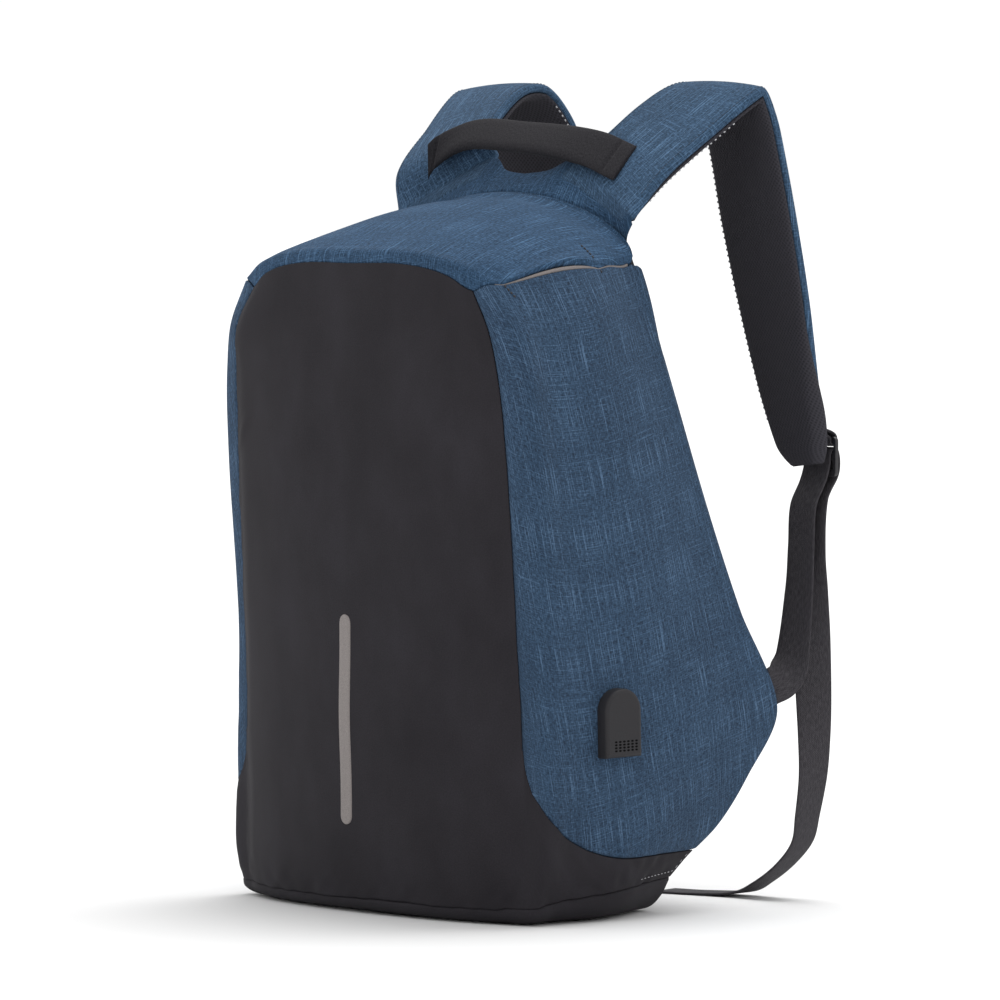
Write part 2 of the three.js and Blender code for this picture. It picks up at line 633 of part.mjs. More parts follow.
// The zip in the back corners and over the top, between the top panel and the yoke.
function mainZip() {
  const pair = (side, level) =>
    [2 + (GAP + HALF_GAP) / HALF_WIDTH, ZIP_TURN - GAP / HALF_WIDTH].map((around) => {
      const point = surface(side * around, level);
      return point.addScaledVector(inward(point), ZIP_INSET);
    });
  const levels = CORNER_LEVELS.filter((level) => level > ZIP_START);
  const arc = FRONT_TURNS.slice(1, -1).map((s) => {
    const edge = domeEdge(-s);
    const front = edge.clone().add(new THREE.Vector3(0, GAP, -ZIP_INSET));
    return [front, edge.add(new THREE.Vector3(0, ZIP_WIDTH, ZIP_INSET))];
  });
  const stations = [
    ...levels.map((level) => pair(1, level)),
    ...arc,
    ...levels.reverse().map((level) => pair(-1, level)),
  ];
  return sheet({
    across: stations.map((_, i) => i),
    up: [0, 1],
    outer: (i, j) => stations[i][j].clone(),
    thickness: ZIP_THICKNESS,
  });
}

// The padded yoke behind the top panel, which carries the straps and the handle.
function yokePoint(s, r) {
  const reach = 0.94;
  const low = domeEdge(s * reach).add(new THREE.Vector3(0, ZIP_WIDTH + GAP, 1));
  const share = yokeEdgeAt(Math.abs(s));
  const high = new THREE.Vector3(
    Math.sign(s) * share.x * HALF_WIDTH,
    setback(share.y),
    share.z * STRAP_TOP,
  );
  const point = low.lerp(high, r);
  point.y -= 1.5 * Math.sin(Math.PI * r);
  return point;
}

function strapYoke() {
  const places = [0, 0.1, 0.2, 0.3, STRAP_ROOT, 0.47, 0.58, 0.69, 0.8, 0.9, 1];
  const across = [...places.slice(1).map((p) => -p).reverse(), ...places];
  const direction = () => new THREE.Vector3(0, 0.3, -0.954);
  const up = [0, 0.25, 0.5, 0.75, 1];
  return sheet({ across, up, outer: yokePoint, thickness: YOKE_THICKNESS, direction });
}

// The edge lines of a strap: the right one, or the left one drawn on the right.
function strapEdges(forward) {
  return (place) => {
    const row = strapEdgesAt(place);
    const y = (share) => setback(share) - forward * row.sway;
    return [
      new THREE.Vector3(row.innerX * HALF_WIDTH, y(row.innerY), row.innerZ * STRAP_TOP),
      new THREE.Vector3(row.outerX * HALF_WIDTH, y(row.outerY), row.outerZ * STRAP_TOP),
    ];
  };
}

const evenly = (from, to, steps) => Array.from({ length: steps + 1 }, (_, i) => mix(from, to, i / steps));

// Places along a strap: its root on the yoke, the start of the mesh, and on to the pad's end.
const strapPlaces = (root) => [root, 0.04, ...evenly(0.07, 0.985, 32), 1];
const MESH_FIRST = 2;

// The blue outside of a strap: its top face is crowned over the foam and its sides are square.
function strapShell({ forward, root }) {
  const section = () => [
    [0, -SHELL_THICKNESS],
    [0, -SHELL_THICKNESS / 4],
    [0.05, 0],
    [0.5, SHELL_CROWN],
    [0.95, 0],
    [1, -SHELL_THICKNESS / 4],
    [1, -SHELL_THICKNESS],
  ];
  return band({ places: strapPlaces(root), edges: strapEdges(forward), section });
}

// The air mesh under a strap.
function strapMesh({ forward, root }) {
  const top = -SHELL_THICKNESS - GAP;
  const low = top - MESH_THICKNESS;
  const shoulder = mix(low, top, 0.36);
  const section = () => [
    [0.98, top],
    [0.02, top],
    [0.04, shoulder],
    [0.3, low],
    [0.7, low],
    [0.96, shoulder],
  ];
  const places = strapPlaces(root);
  const last = places.length - 2;
  return band({ places, edges: strapEdges(forward), section, first: MESH_FIRST, last });
}

// The padded carry handle, sewn down flat at both ends.
function carryHandle() {
  const edges = (place) => {
    const row = handleAt(place);
    const middle = new THREE.Vector3(row.x * HALF_WIDTH, setback(row.y), row.z * STRAP_TOP);
    const slope = THREE.MathUtils.degToRad(row.slope);
    const half = (row.width * HANDLE_WIDTH) / 2;
    const width = new THREE.Vector3(0, Math.sin(slope) * half, Math.cos(slope) * half);
    return [middle.clone().add(width), middle.clone().sub(width)];
  };
  const section = (place) => {
    const half = (handleAt(place).thick * HANDLE_THICKNESS) / 2;
    const edge = 0.3 * half;
    return [
      [0, edge],
      [0.12, half],
      [0.88, half],
      [1, edge],
      [1, -edge],
      [0.88, -half],
      [0.12, -half],
      [0, -edge],
    ];
  };
  return band({ places: evenly(0, 1, 20), edges, section });
}

// The middle line of the right webbing; its start sits on the back panel beside the zip.
function webbingMiddle(place) {
  const at = (p) => {
    const row = webbingAt(p);
    return new THREE.Vector3(row.x * HALF_WIDTH, setback(row.y), row.z * TAIL_DROP);
  };
  const start = at(0);
  const level = start.z / BAG_HEIGHT;
  const seam = surface(2 + (ZIP_WIDTH + 3) / HALF_WIDTH, level).sub(inward(start).multiplyScalar(2 * GAP));
  const pull = Math.max(1 - place / ANCHOR_REACH, 0);
  return at(place).addScaledVector(seam.sub(start), pull);
}

// The right webbing, drawn along its middle line.
function webbing() {
  const edges = (place) => {
    const row = webbingAt(place);
    const middle = webbingMiddle(place);
    const turn = THREE.MathUtils.degToRad(row.across);
    const tilt = THREE.MathUtils.degToRad(row.tilt);
    const width = new THREE.Vector3(
      Math.cos(turn) * Math.cos(tilt),
      Math.sin(turn) * Math.cos(tilt),
      Math.sin(tilt),
    ).multiplyScalar(WEBBING_WIDTH / 2);
    return [middle.clone().sub(width), middle.clone().add(width)];
  };
  const half = WEBBING_THICKNESS / 2;
  const section = () => [[0, half], [1, half], [1, -half], [0, -half]];
  const places = [...evenly(0, 0.36, 18), ...evenly(0.365, 0.455, 18), ...evenly(0.47, 1, 34)];
  return band({ places, edges, section });
}

// A plate of an outline with holes, of one thickness, standing on its own XY plane.
function plate(outline, holes, thickness) {
  const shape = new THREE.Shape(outline);
  shape.holes = holes.map((hole) => new THREE.Path(hole));
  return new THREE.ExtrudeGeometry(shape, { depth: thickness, bevelEnabled: false });
}

const rectangle = (width, height, y = 0) => [
  new THREE.Vector2(-width / 2, y - height / 2),
  new THREE.Vector2(width / 2, y - height / 2),
  new THREE.Vector2(width / 2, y + height / 2),
  new THREE.Vector2(-width / 2, y + height / 2),
];

// A ladder lock: a flat frame with one bar across its middle.
function ladderLock() {
  const slot = (LOCK_HEIGHT - 3 * LOCK_BAR) / 2;
  const shift = (slot + LOCK_BAR) / 2;
  const inner = WEBBING_WIDTH + 4 * GAP;
  return plate(
    rectangle(LOCK_WIDTH, LOCK_HEIGHT),
    [rectangle(inner, slot, shift), rectangle(inner, slot, -shift)],
    LOCK_THICKNESS,
  );
}

// The ladder lock in its place behind the pad's end, with the webbing through its upper slot.
function lockMiddle() {
  const crossing = webbingMiddle(WEBBING_TURN);
  const slot = (LOCK_HEIGHT - 3 * LOCK_BAR) / 2;
  return crossing.add(new THREE.Vector3(0, -0.6, -(LOCK_BAR + slot) / 2));
}

function seatedLock() {
  const middle = lockMiddle();
  return ladderLock()
    .translate(0, 0, -LOCK_THICKNESS / 2)
    .rotateX(Math.PI / 2)
    .translate(middle.x, middle.y, middle.z);
}

// The short doubled webbing that holds the lock to the outside of the pad.
function holdingLoop() {
  const middle = lockMiddle();
  const y = middle.y + (LOCK_THICKNESS - LOOP_THICKNESS) / 2;
  const z = middle.z + (LOCK_HEIGHT + LOOP_LENGTH) / 2 + GAP;
  return new THREE.BoxGeometry(WEBBING_WIDTH, LOOP_THICKNESS, LOOP_LENGTH).translate(middle.x, y, z);
}

// The slider of the zip, drawn on the right.
function zipSlider() {
  const shape = new THREE.Shape();
  const half = SLIDER_WIDTH / 2;
  shape.moveTo(-half * 0.6, -SLIDER_LENGTH / 2);
  shape.lineTo(half * 0.6, -SLIDER_LENGTH / 2);
  shape.lineTo(half, SLIDER_LENGTH / 4);
  shape.lineTo(half * 0.5, SLIDER_LENGTH / 2);
  shape.lineTo(-half * 0.5, SLIDER_LENGTH / 2);
  shape.lineTo(-half, SLIDER_LENGTH / 4);
  const geometry = new THREE.ExtrudeGeometry(shape, { depth: SLIDER_THICKNESS, bevelEnabled: false });
  const holder = new THREE.Object3D();
  standOn(holder, (2 + ZIP_TURN) / 2, SLIDER_MIDDLE, SLIDER_LIFT);
  holder.updateMatrix();
  return geometry.applyMatrix4(holder.matrix);
}

// The charging port's hood: a D with its round end up.
function usbPort() {
  const half = PORT_WIDTH / 2 - PORT_BEVEL;
  const low = -PORT_HEIGHT / 2 + PORT_BEVEL;
  const shoulder = PORT_HEIGHT / 2 - PORT_BEVEL - half;
  const shape = new THREE.Shape();
  shape.moveTo(-half, low);
  shape.lineTo(half, low);
  shape.lineTo(half, shoulder);
  shape.absarc(0, shoulder, half, 0, Math.PI);
  shape.lineTo(-half, low);
  return new THREE.ExtrudeGeometry(shape, {
    depth: PORT_RAISE - PORT_BEVEL,
    bevelThickness: PORT_BEVEL,
    bevelSize: PORT_BEVEL,
    bevelOffset: 0,
    bevelSegments: 2,
    curveSegments: 8,
  });
}

// Puts an object's XY plane on the bag at a turn and height, facing out.
function standOn(mesh, turn, height, lift) {
  const level = height / (rimShare(turn) * BAG_HEIGHT);
  const point = outside(turn, level);
  const ahead = outside(turn + 0.05, level).sub(point).normalize();
  const up = outside(turn, level + 0.03).sub(point).normalize();
  const out = ahead.clone().cross(up).normalize();
  up.crossVectors(out, ahead);
  mesh.setRotationFromMatrix(new THREE.Matrix4().makeBasis(ahead, up, out));
  mesh.position.copy(point).addScaledVector(out, lift);
  return mesh;
}

const backpack = new THREE.Group();
function add(name, finish, geometry) {
  const mesh = new THREE.Mesh(geometry, new THREE.MeshStandardMaterial(FINISH[finish]));
  mesh.name = name;
  backpack.add(mesh);
  return mesh;
}

add("front_panel", "blackCloth", frontPanel());
add("base_panel", "blackCloth", basePanel());
add("top_panel", "heather", topPanel());
const side = sidePanel();
add("side_panel_right", "heather", side);
add("side_panel_left", "heather", mirrored(side));
add("back_panel", "airMesh", backPanel());
add("main_zip", "webbing", mainZip());
add("reflective_stripe", "reflective", reflectiveStripe());
const trim = slitTrim();
add("slit_trim_right", "reflective", trim);
add("slit_trim_left", "reflective", mirrored(trim));
add("strap_yoke", "heather", strapYoke());
add("carry_handle", "webbing", carryHandle());
const runs = [
  { side: "right", forward: 0, root: 0.0062, place: (geometry) => geometry },
  { side: "left", forward: LEFT_STRAP_FORWARD, root: 0.0075, place: mirrored },
];
for (const run of runs) {
  add("strap_shell_" + run.side, "heather", run.place(strapShell(run)));
  add("strap_mesh_" + run.side, "airMesh", run.place(strapMesh(run)));
  add("strap_webbing_" + run.side, "webbing", run.place(webbing()));
}
for (const run of runs) {
  add("strap_adjuster_" + run.side, "plastic", run.place(seatedLock()));
  add("adjuster_loop_" + run.side, "webbing", run.place(holdingLoop()));
}
add("zip_slider", "plastic", mirrored(zipSlider()));
const portTurn = turnAtSetback(PORT_MIDDLE / BAG_HEIGHT, PORT_SETBACK - BASE_SETBACK);
standOn(add("usb_port", "plastic", usbPort()), portTurn, PORT_MIDDLE, GAP + PORT_BEVEL);

export default backpack;
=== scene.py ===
"""Dresses the anti theft backpack: sewn cloth panels, stitches, padded straps, webbing and trims.

Sizes are in millimetres in the bag's own frame, and are turned to metres where a mesh is made.
The front faces -Y, the charging port is on the +X side.
"""
import math

import bpy
import numpy as np
from mathutils import Matrix, Vector
from mathutils.kdtree import KDTree


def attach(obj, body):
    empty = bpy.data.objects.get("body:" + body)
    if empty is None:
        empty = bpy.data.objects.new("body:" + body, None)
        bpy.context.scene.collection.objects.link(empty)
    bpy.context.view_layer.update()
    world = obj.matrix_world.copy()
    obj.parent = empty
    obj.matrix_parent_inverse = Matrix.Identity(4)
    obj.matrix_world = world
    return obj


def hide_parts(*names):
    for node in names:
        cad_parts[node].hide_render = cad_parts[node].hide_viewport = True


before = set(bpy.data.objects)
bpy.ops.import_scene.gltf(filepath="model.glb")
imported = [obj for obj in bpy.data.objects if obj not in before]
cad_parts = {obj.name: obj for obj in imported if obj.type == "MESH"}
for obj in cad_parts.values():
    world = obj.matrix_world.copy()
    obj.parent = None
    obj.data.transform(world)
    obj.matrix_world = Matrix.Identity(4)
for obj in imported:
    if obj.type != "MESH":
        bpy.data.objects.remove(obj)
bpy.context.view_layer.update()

MM = 0.001

# Sizes of the bag, as in the part's source
BAG_HEIGHT = 415
BAG_WIDTH = 320
BAG_DEPTH = 236
BASE_SETBACK = 90
DOME_RISE = 46
DOME_PUFF = 3
WALL = 3
BACK_WALL = 7
SEAM_DIP = 2.5
SEAM_REACH = 12
GAP = 0.3
LIP_LIFT = 4.5
FLAT_INSET = 28
LOWER_WRAP = 40
WRAP_RISE = 75
STRIPE_LENGTH = 134
STRIPE_WIDTH = 11
STRIPE_MIDDLE = 122
ZIP_WIDTH = 6
ZIP_THICKNESS = 2
ZIP_INSET = 0.5
PORT_WIDTH = 32
PORT_HEIGHT = 42.5
PORT_RAISE = 7
PORT_SETBACK = 89
PORT_MIDDLE = 126.5
STRAP_TOP = 532
YOKE_THICKNESS = 5
UNDER_YOKE = 1.8
YOKE_LEAN = 0.82
YOKE_CORNER = 0.565
YOKE_BLEND = 0.14
LEFT_STRAP_FORWARD = 20
HANDLE_THICKNESS = 7
HANDLE_WIDTH = 26
WEBBING_WIDTH = 25
WEBBING_THICKNESS = 1.6
TAIL_DROP = 290
ANCHOR_REACH = 0.09

HALF_WIDTH = BAG_WIDTH / 2
HALF_GAP = GAP / 2
ZIP_TURN = 2 + (ZIP_WIDTH + GAP) / HALF_WIDTH


def table(names, rows):
    """A table: each column's name and its values."""
    return dict(zip(names.split(), np.array(rows, float).T))


SECTIONS = table("level front seamX seamY cornerX cornerY sideX backX backY midY", [
    [0, 0.032, 0.806, 0.11, 0.905, 0.14, 0.9, 0.715, 0.65, 0.685],
    [0.022, 0.028, 0.825, 0.114, 0.924, 0.142, 0.918, 0.735, 0.672, 0.706],
    [0.075, 0.012, 0.869, 0.121, 0.968, 0.14, 0.965, 0.81, 0.735, 0.789],
    [0.13, 0.006, 0.881, 0.127, 0.985, 0.147, 0.985, 0.868, 0.822, 0.868],
    [0.205, 0.002, 0.889, 0.13, 0.988, 0.152, 0.996, 0.908, 0.908, 0.963],
    [0.31, 0, 0.893, 0.126, 0.978, 0.154, 1, 0.927, 1.008, 1.04],
    [0.45, 0, 0.882, 0.114, 0.97, 0.148, 1, 0.912, 0.893, 0.926],
    [0.6, 0, 0.877, 0.097, 0.975, 0.133, 0.994, 0.881, 0.793, 0.838],
    [0.77, 0, 0.864, 0.076, 0.972, 0.112, 0.975, 0.838, 0.7, 0.746],
    [0.86, 0.002, 0.845, 0.062, 0.95, 0.102, 0.944, 0.806, 0.656, 0.703],
    [0.93, 0.006, 0.815, 0.046, 0.909, 0.093, 0.92, 0.772, 0.625, 0.672],
    [1, 0.017, 0.7, 0.051, 0.79, 0.081, 0.85, 0.738, 0.592, 0.627],
])

RIM = table("turn height", [
    [0, 1.004],
    [0.35, 1.0048],
    [0.6, 0.9991],
    [0.8, 0.9874],
    [1, 0.968],
    [1.06, 0.9753],
    [1.15, 0.974],
    [1.5, 0.988],
    [1.8, 0.998],
    [2, 1],
    [2.06, 1.038],
    [2.15, 1.072],
    [2.4, 1.104],
    [2.62, 1.142],
    [2.75, 1.14],
    [2.9, 1.128],
    [3, 1.125],
])

BASE_SEAM = table("turn height", [
    [0, 0.022],
    [1, 0.024],
    [1.3, 0.038],
    [2, 0.054],
    [3, 0.06],
])

YOKE_EDGE = table("place x y z", [
    [0, 0, 0.64, 0.89],
    [0.2, 0.14, 0.65, 0.895],
    [0.37, 0.262, 0.678, 0.91],
    [0.69, 0.488, 0.64, 0.875],
    [1, 0.712, 0.602, 0.84],
])

STRAP_EDGES = table("place innerX innerY innerZ outerX outerY outerZ sway", [
    [0, 0.262, 0.678, 0.91, 0.712, 0.602, 0.84, 0],
    [0.08, 0.306, 0.747, 0.937, 0.763, 0.69, 0.891, 0.9],
    [0.17, 0.35, 0.845, 0.974, 0.831, 0.83, 0.945, 1],
    [0.24, 0.388, 0.936, 0.998, 0.894, 0.945, 0.987, 0.85],
    [0.28, 0.394, 1.01, 0.998, 0.9, 0.985, 0.992, 0.65],
    [0.33, 0.4, 1.072, 0.965, 0.903, 1.022, 0.962, 0.4],
    [0.4, 0.413, 1.103, 0.927, 0.909, 1.044, 0.927, 0.2],
    [0.55, 0.45, 1.13, 0.83, 0.922, 1.09, 0.83, 0],
    [0.7, 0.5, 1.16, 0.733, 0.938, 1.126, 0.733, 0],
    [0.85, 0.575, 1.186, 0.635, 0.95, 1.152, 0.635, 0],
    [0.94, 0.65, 1.19, 0.578, 0.956, 1.17, 0.578, 0],
    [1, 0.731, 1.188, 0.533, 0.95, 1.176, 0.54, 0],
])

HANDLE_LINE = table("place x y z width thick slope", [
    [0, -0.54, 0.572, 0.8895, 0.92, 0.45, 29],
    [0.1, -0.5, 0.598, 0.914, 0.92, 0.6, 32],
    [0.25, -0.34, 0.635, 0.936, 0.96, 1, 40],
    [0.5, -0.05, 0.645, 0.934, 1, 1, 46],
    [0.75, 0.22, 0.655, 0.927, 1.08, 1, 46],
    [0.9, 0.39, 0.668, 0.918, 1.12, 0.6, 43],
    [1, 0.51, 0.676, 0.9055, 1.15, 0.45, 43],
])

WEBBING_LINE = table("place x y z across tilt", [
    [0, 0.91, 1.02, 0.475, 90, -70],
    [0.04, 0.91, 1.05, 0.497, 60, -50],
    [0.09, 0.884, 1.09, 0.55, 20, -18],
    [0.17, 0.862, 1.128, 0.7, 4, 0],
    [0.25, 0.85, 1.143, 0.8, 0, 0],
    [0.31, 0.84, 1.157, 0.89, 0, 0],
    [0.35, 0.838, 1.194, 0.945, 0, 0],
    [0.375, 0.838, 1.209, 0.98, 0, 0],
    [0.39, 0.838, 1.212, 1.006, 0, 0],
    [0.4, 0.838, 1.226, 1.018, 0, 0],
    [0.41, 0.838, 1.24, 1.012, 0, 0],
    [0.425, 0.838, 1.246, 0.985, 0, 0],
    [0.445, 0.838, 1.239, 0.955, 0, 0],
    [0.47, 0.84, 1.195, 0.903, 6, 0],
    [0.52, 0.838, 1.178, 0.783, 20, 0],
    [0.56, 0.825, 1.188, 0.697, 40, 0],
    [0.61, 0.812, 1.206, 0.586, 58, 0],
    [0.67, 0.794, 1.225, 0.455, 70, 0],
    [0.72, 0.788, 1.231, 0.369, 80, 0],
    [0.77, 0.781, 1.231, 0.279, 90, 0],
    [0.81, 0.762, 1.222, 0.19, 98, 0],
    [0.84, 0.738, 1.218, 0.131, 103, 0],
    [0.87, 0.675, 1.195, 0.08, 105, 0],
    [0.9, 0.581, 1.172, 0.038, 104, 0],
    [0.93, 0.475, 1.157, 0.011, 100, 0],
    [0.965, 0.281, 1.118, 0.0034, 104, 0],
    [1, 0.125, 1.082, 0.0034, 106, 0],
])

# The bag's shape


def mix(a, b, f):
    return a + (b - a) * f


def ease(f):
    """A share from 0 to 1, made to start and stop softly."""
    return f * f * (3 - 2 * f)


def smooth_line(at, values, wanted):
    """The smooth line through values at the places at. values is one column, or one for each wanted place."""
    wanted = np.asarray(wanted, float)
    x = np.clip(wanted, at[0], at[-1])
    i = np.clip(np.searchsorted(at, x) - 1, 0, len(at) - 2)
    k = np.arange(len(at))
    before, after = np.maximum(k - 1, 0), np.minimum(k + 1, len(at) - 1)
    gap = at[after] - at[before]
    if values.ndim == 2:
        gap = gap[:, None]
        column = np.arange(len(x))
        pick = lambda rows, j: rows[j, column]
    else:
        pick = lambda rows, j: rows[j]
    slope = (values[after] - values[before]) / gap
    span = at[i + 1] - at[i]
    f = (x - at[i]) / span
    rise = pick(values, i + 1) - pick(values, i)
    bend = (pick(slope, i) * span - rise) * (1 - f) - (pick(slope, i + 1) * span - rise) * f
    return pick(values, i) + rise * f + bend * f * (1 - f)


def read(rows, key, name, wanted):
    return smooth_line(rows[key], rows[name], wanted)


def setback(share):
    return share * BAG_DEPTH - BASE_SETBACK


def xyz(x, y, z):
    return np.stack(np.broadcast_arrays(x, y, z), axis=-1).astype(float)


def unit(vectors):
    return vectors / np.maximum(np.linalg.norm(vectors, axis=-1, keepdims=True), 1e-9)


def outside(turn, level):
    """Points of the bag's outside, before its seams are pulled in."""
    turn, level = np.broadcast_arrays(np.asarray(turn, float), np.asarray(level, float))
    shape, t, l = turn.shape, turn.ravel(), level.ravel()
    s = {name: read(SECTIONS, "level", name, l) for name in SECTIONS if name != "level"}
    spread = s["backY"] - s["cornerY"]
    none = np.zeros_like(l)
    near = mix(s["front"], s["seamY"], 0.2)
    wall_turns = np.array([-0.5, 0, 0.5, 0.83, 1, 1.1, 1.25, 1.6, 2])
    wall_x = np.stack([
        -0.52 * s["seamX"], none, 0.52 * s["seamX"], 0.84 * s["seamX"], s["seamX"],
        s["cornerX"], mix(s["cornerX"], s["sideX"], 0.85), s["sideX"], s["backX"],
    ])
    wall_y = np.stack([
        near, s["front"], near, mix(s["front"], s["seamY"], 0.62), s["seamY"],
        s["cornerY"], s["cornerY"] + 0.14 * spread, s["cornerY"] + 0.52 * spread, s["backY"],
    ])
    back_turns = np.array([2, 2.1, 3, 3.9])
    beside = mix(s["backY"], s["midY"], 0.3)
    back_x = np.stack([s["backX"], s["backX"] - 0.07, none, -s["backX"] + 0.07])
    back_y = np.stack([s["backY"], beside, s["midY"], beside])
    around = np.abs(t)
    wall = around < 2
    x = np.where(wall, smooth_line(wall_turns, wall_x, around), smooth_line(back_turns, back_x, around))
    y = np.where(wall, smooth_line(wall_turns, wall_y, around), smooth_line(back_turns, back_y, around))
    side = np.where(t < 0, -1, 1)
    z = l * read(RIM, "turn", "height", around) * BAG_HEIGHT
    return xyz(side * x * HALF_WIDTH, setback(y), z).reshape(*shape, 3)


CORE_LOW = np.array([-0.6 * HALF_WIDTH, setback(0.17), 0.075 * BAG_HEIGHT])
CORE_HIGH = np.array([0.6 * HALF_WIDTH, setback(0.44), 0.9 * BAG_HEIGHT])


def inward(points):
    return unit(np.clip(points, CORE_LOW, CORE_HIGH) - points)


def bump(distance, reach):
    return np.exp(-((distance / reach) ** 2))


def wrap_level(turn):
    along = np.clip((np.abs(turn) - 1) / 0.62, 0, 1)
    climb = 1 - np.sqrt(1 - (1 - along) ** 2)
    return (LOWER_WRAP + WRAP_RISE * climb) / BAG_HEIGHT


def base_level(turn):
    return read(BASE_SEAM, "turn", "height", np.abs(turn))


def surface(turn, level):
    """Points of the bag's outside with its seams pulled in."""
    turn, level = np.broadcast_arrays(np.asarray(turn, float), np.asarray(level, float))
    points = outside(turn, level)
    around = np.abs(turn)
    front = outside(1, level)[..., 0] - np.abs(points[..., 0])
    above = np.clip((level - wrap_level(1.0)) * BAG_HEIGHT / 16 + 0.5, 0.3, 1)
    front_seam = np.where(around < 1.3, bump(front, SEAM_REACH) * above, 0)
    wrap_distance = (level - wrap_level(turn)) * BAG_HEIGHT
    wrap_seam = 0.5 * bump(wrap_distance, SEAM_REACH) * np.clip((around - 0.92) / 0.08, 0, 1)
    dip = SEAM_DIP * np.minimum(front_seam + wrap_seam, 1)
    return points + inward(points) * dip[..., None]


def turn_near(turn, level, distance):
    step = 0.01 * math.copysign(1, distance)
    pace = np.linalg.norm(outside(turn + step, level) - outside(turn, level), axis=-1) / 0.01
    return turn + distance / pace


def level_near(level, distance):
    return level + distance / BAG_HEIGHT


def dome_edge(s):
    """The back edge of the top panel, from its left corner (-1) to its right one (1)."""
    corner = outside(2.0, 1.0)
    rise = np.maximum(1 - s * s, 0) ** 0.6
    return xyz(corner[0] * s, corner[1] - 0.046 * BAG_DEPTH * (1 - s * s), corner[2] + DOME_RISE * rise)


TACKS = (0.14, 0.735)  # places along a slit where a bar tack holds the top panel's lip down


def hump(r, first, last):
    """A smooth rise from 0 at first to 1 between them, and back to 0 at last."""
    f = np.clip((r - first) / (last - first), 0, 1)
    return np.sin(math.pi * f**1.25) ** 0.8


def slit_rise(r):
    """How far the side panel's upper edge arches up in the slit."""
    return 3.0 * hump(r, TACKS[0], TACKS[1]) + 1.2 * hump(r, TACKS[1], 1.15)


def lip_lift(r):
    """How far the lip stands off the side panel's edge: closed at the bar tacks, open between them."""
    return 0.4 + LIP_LIFT * hump(r, TACKS[0], TACKS[1]) + 2.2 * hump(r, TACKS[1], 1.2)


def dome(s, r):
    """The filled top panel: s from left to right, r from front to back."""
    flip = np.array([-1.0, 1.0, 1.0])

    def side(at):
        return surface(1 + at, 1.0) + np.array([0, 0, GAP])

    s3, r3 = s[..., None], r[..., None]
    f3 = (s3 + 1) / 2
    front = surface(s, 1.0) + np.array([0, 0, HALF_GAP])
    right = side(r)
    corner0, corner1 = side(0.0), side(1.0)
    points = front * (1 - r3) + dome_edge(s) * r3 + right * f3 + right * flip * (1 - f3)
    points -= (1 - r3) * (corner0 * f3 + corner0 * flip * (1 - f3))
    points -= r3 * (corner1 * f3 + corner1 * flip * (1 - f3))
    points[..., 2] += DOME_PUFF * (1 - s * s) * np.sin(math.pi * r**0.75)
    points[..., 2] += (slit_rise(r) + lip_lift(r)) * np.abs(s) ** 12
    return points


def strap_edge_lines(place, forward):
    """The inner and outer edge of a strap at places along it."""
    sway = read(STRAP_EDGES, "place", "sway", place) * forward
    lines = []
    for edge in ("inner", "outer"):
        x, y, z = (read(STRAP_EDGES, "place", edge + axis, place) for axis in "XYZ")
        lines.append(xyz(x * HALF_WIDTH, setback(y) - sway, z * STRAP_TOP))
    return lines


def handle_edge_lines(place):
    row = {name: read(HANDLE_LINE, "place", name, place) for name in HANDLE_LINE}
    middle = xyz(row["x"] * HALF_WIDTH, setback(row["y"]), row["z"] * STRAP_TOP)
    slope = np.radians(row["slope"])
    half = row["width"] * HANDLE_WIDTH / 2
    width = xyz(0 * half, np.sin(slope) * half, np.cos(slope) * half)
    return middle + width, middle - width, row["thick"]


def webbing_middle(place):
    row = {name: read(WEBBING_LINE, "place", name, place) for name in WEBBING_LINE}
    middle = xyz(row["x"] * HALF_WIDTH, setback(row["y"]), row["z"] * TAIL_DROP)
    start = xyz(*(read(WEBBING_LINE, "place", name, 0.0) for name in "xyz"))
    start = xyz(start[0] * HALF_WIDTH, setback(start[1]), start[2] * TAIL_DROP)
    seam = surface(2 + (ZIP_WIDTH + 3) / HALF_WIDTH, start[2] / BAG_HEIGHT) - inward(start) * 2 * GAP
    pull = np.maximum(1 - place / ANCHOR_REACH, 0)
    return middle + (seam - start) * pull[..., None], row


def webbing_edge_lines(place):
    middle, row = webbing_middle(place)
    turn, tilt = np.radians(row["across"]), np.radians(row["tilt"])
    half = WEBBING_WIDTH / 2
    width = xyz(np.cos(turn) * np.cos(tilt), np.sin(turn) * np.cos(tilt), np.sin(tilt)) * half
    return middle - width, middle + width


def ripple(points, size, seed):
    """Smooth unevenness from about -1 to 1, with features about size mm across."""
    pick = np.random.default_rng(seed)
    total = np.zeros(points.shape[:-1])
    for _ in range(14):
        direction = unit(pick.normal(size=3))
        length = size * pick.uniform(0.9, 2.0)
        total += np.sin(points @ direction * (2 * math.pi / length) + pick.uniform(0, 2 * math.pi))
    return total / 4


# Materials


def linear(code):
    """An sRGB hex colour as linear red, green, blue and alpha."""
    channels = [int(code[i : i + 2], 16) / 255 for i in (1, 3, 5)]
    return [c / 12.92 if c <= 0.04045 else ((c + 0.055) / 1.055) ** 2.4 for c in channels] + [1.0]


def node(tree, kind, inputs=None, stops=(), **settings):
    """Adds a node with its settings. inputs are links or plain values, stops a ramp's places and colours."""
    made = tree.nodes.new(kind)
    for name, value in settings.items():
        setattr(made, name, value)
    while len(made.color_ramp.elements if stops else ()) < len(stops):
        made.color_ramp.elements.new(0.5)
    for k, (place, code) in enumerate(stops):
        made.color_ramp.elements[k].position = place
        made.color_ramp.elements[k].color = linear(code)
    for socket, value in (inputs or {}).items():
        if isinstance(value, bpy.types.NodeSocket):
            tree.links.new(value, made.inputs[socket])
        else:
            made.inputs[socket].default_value = value
    return made


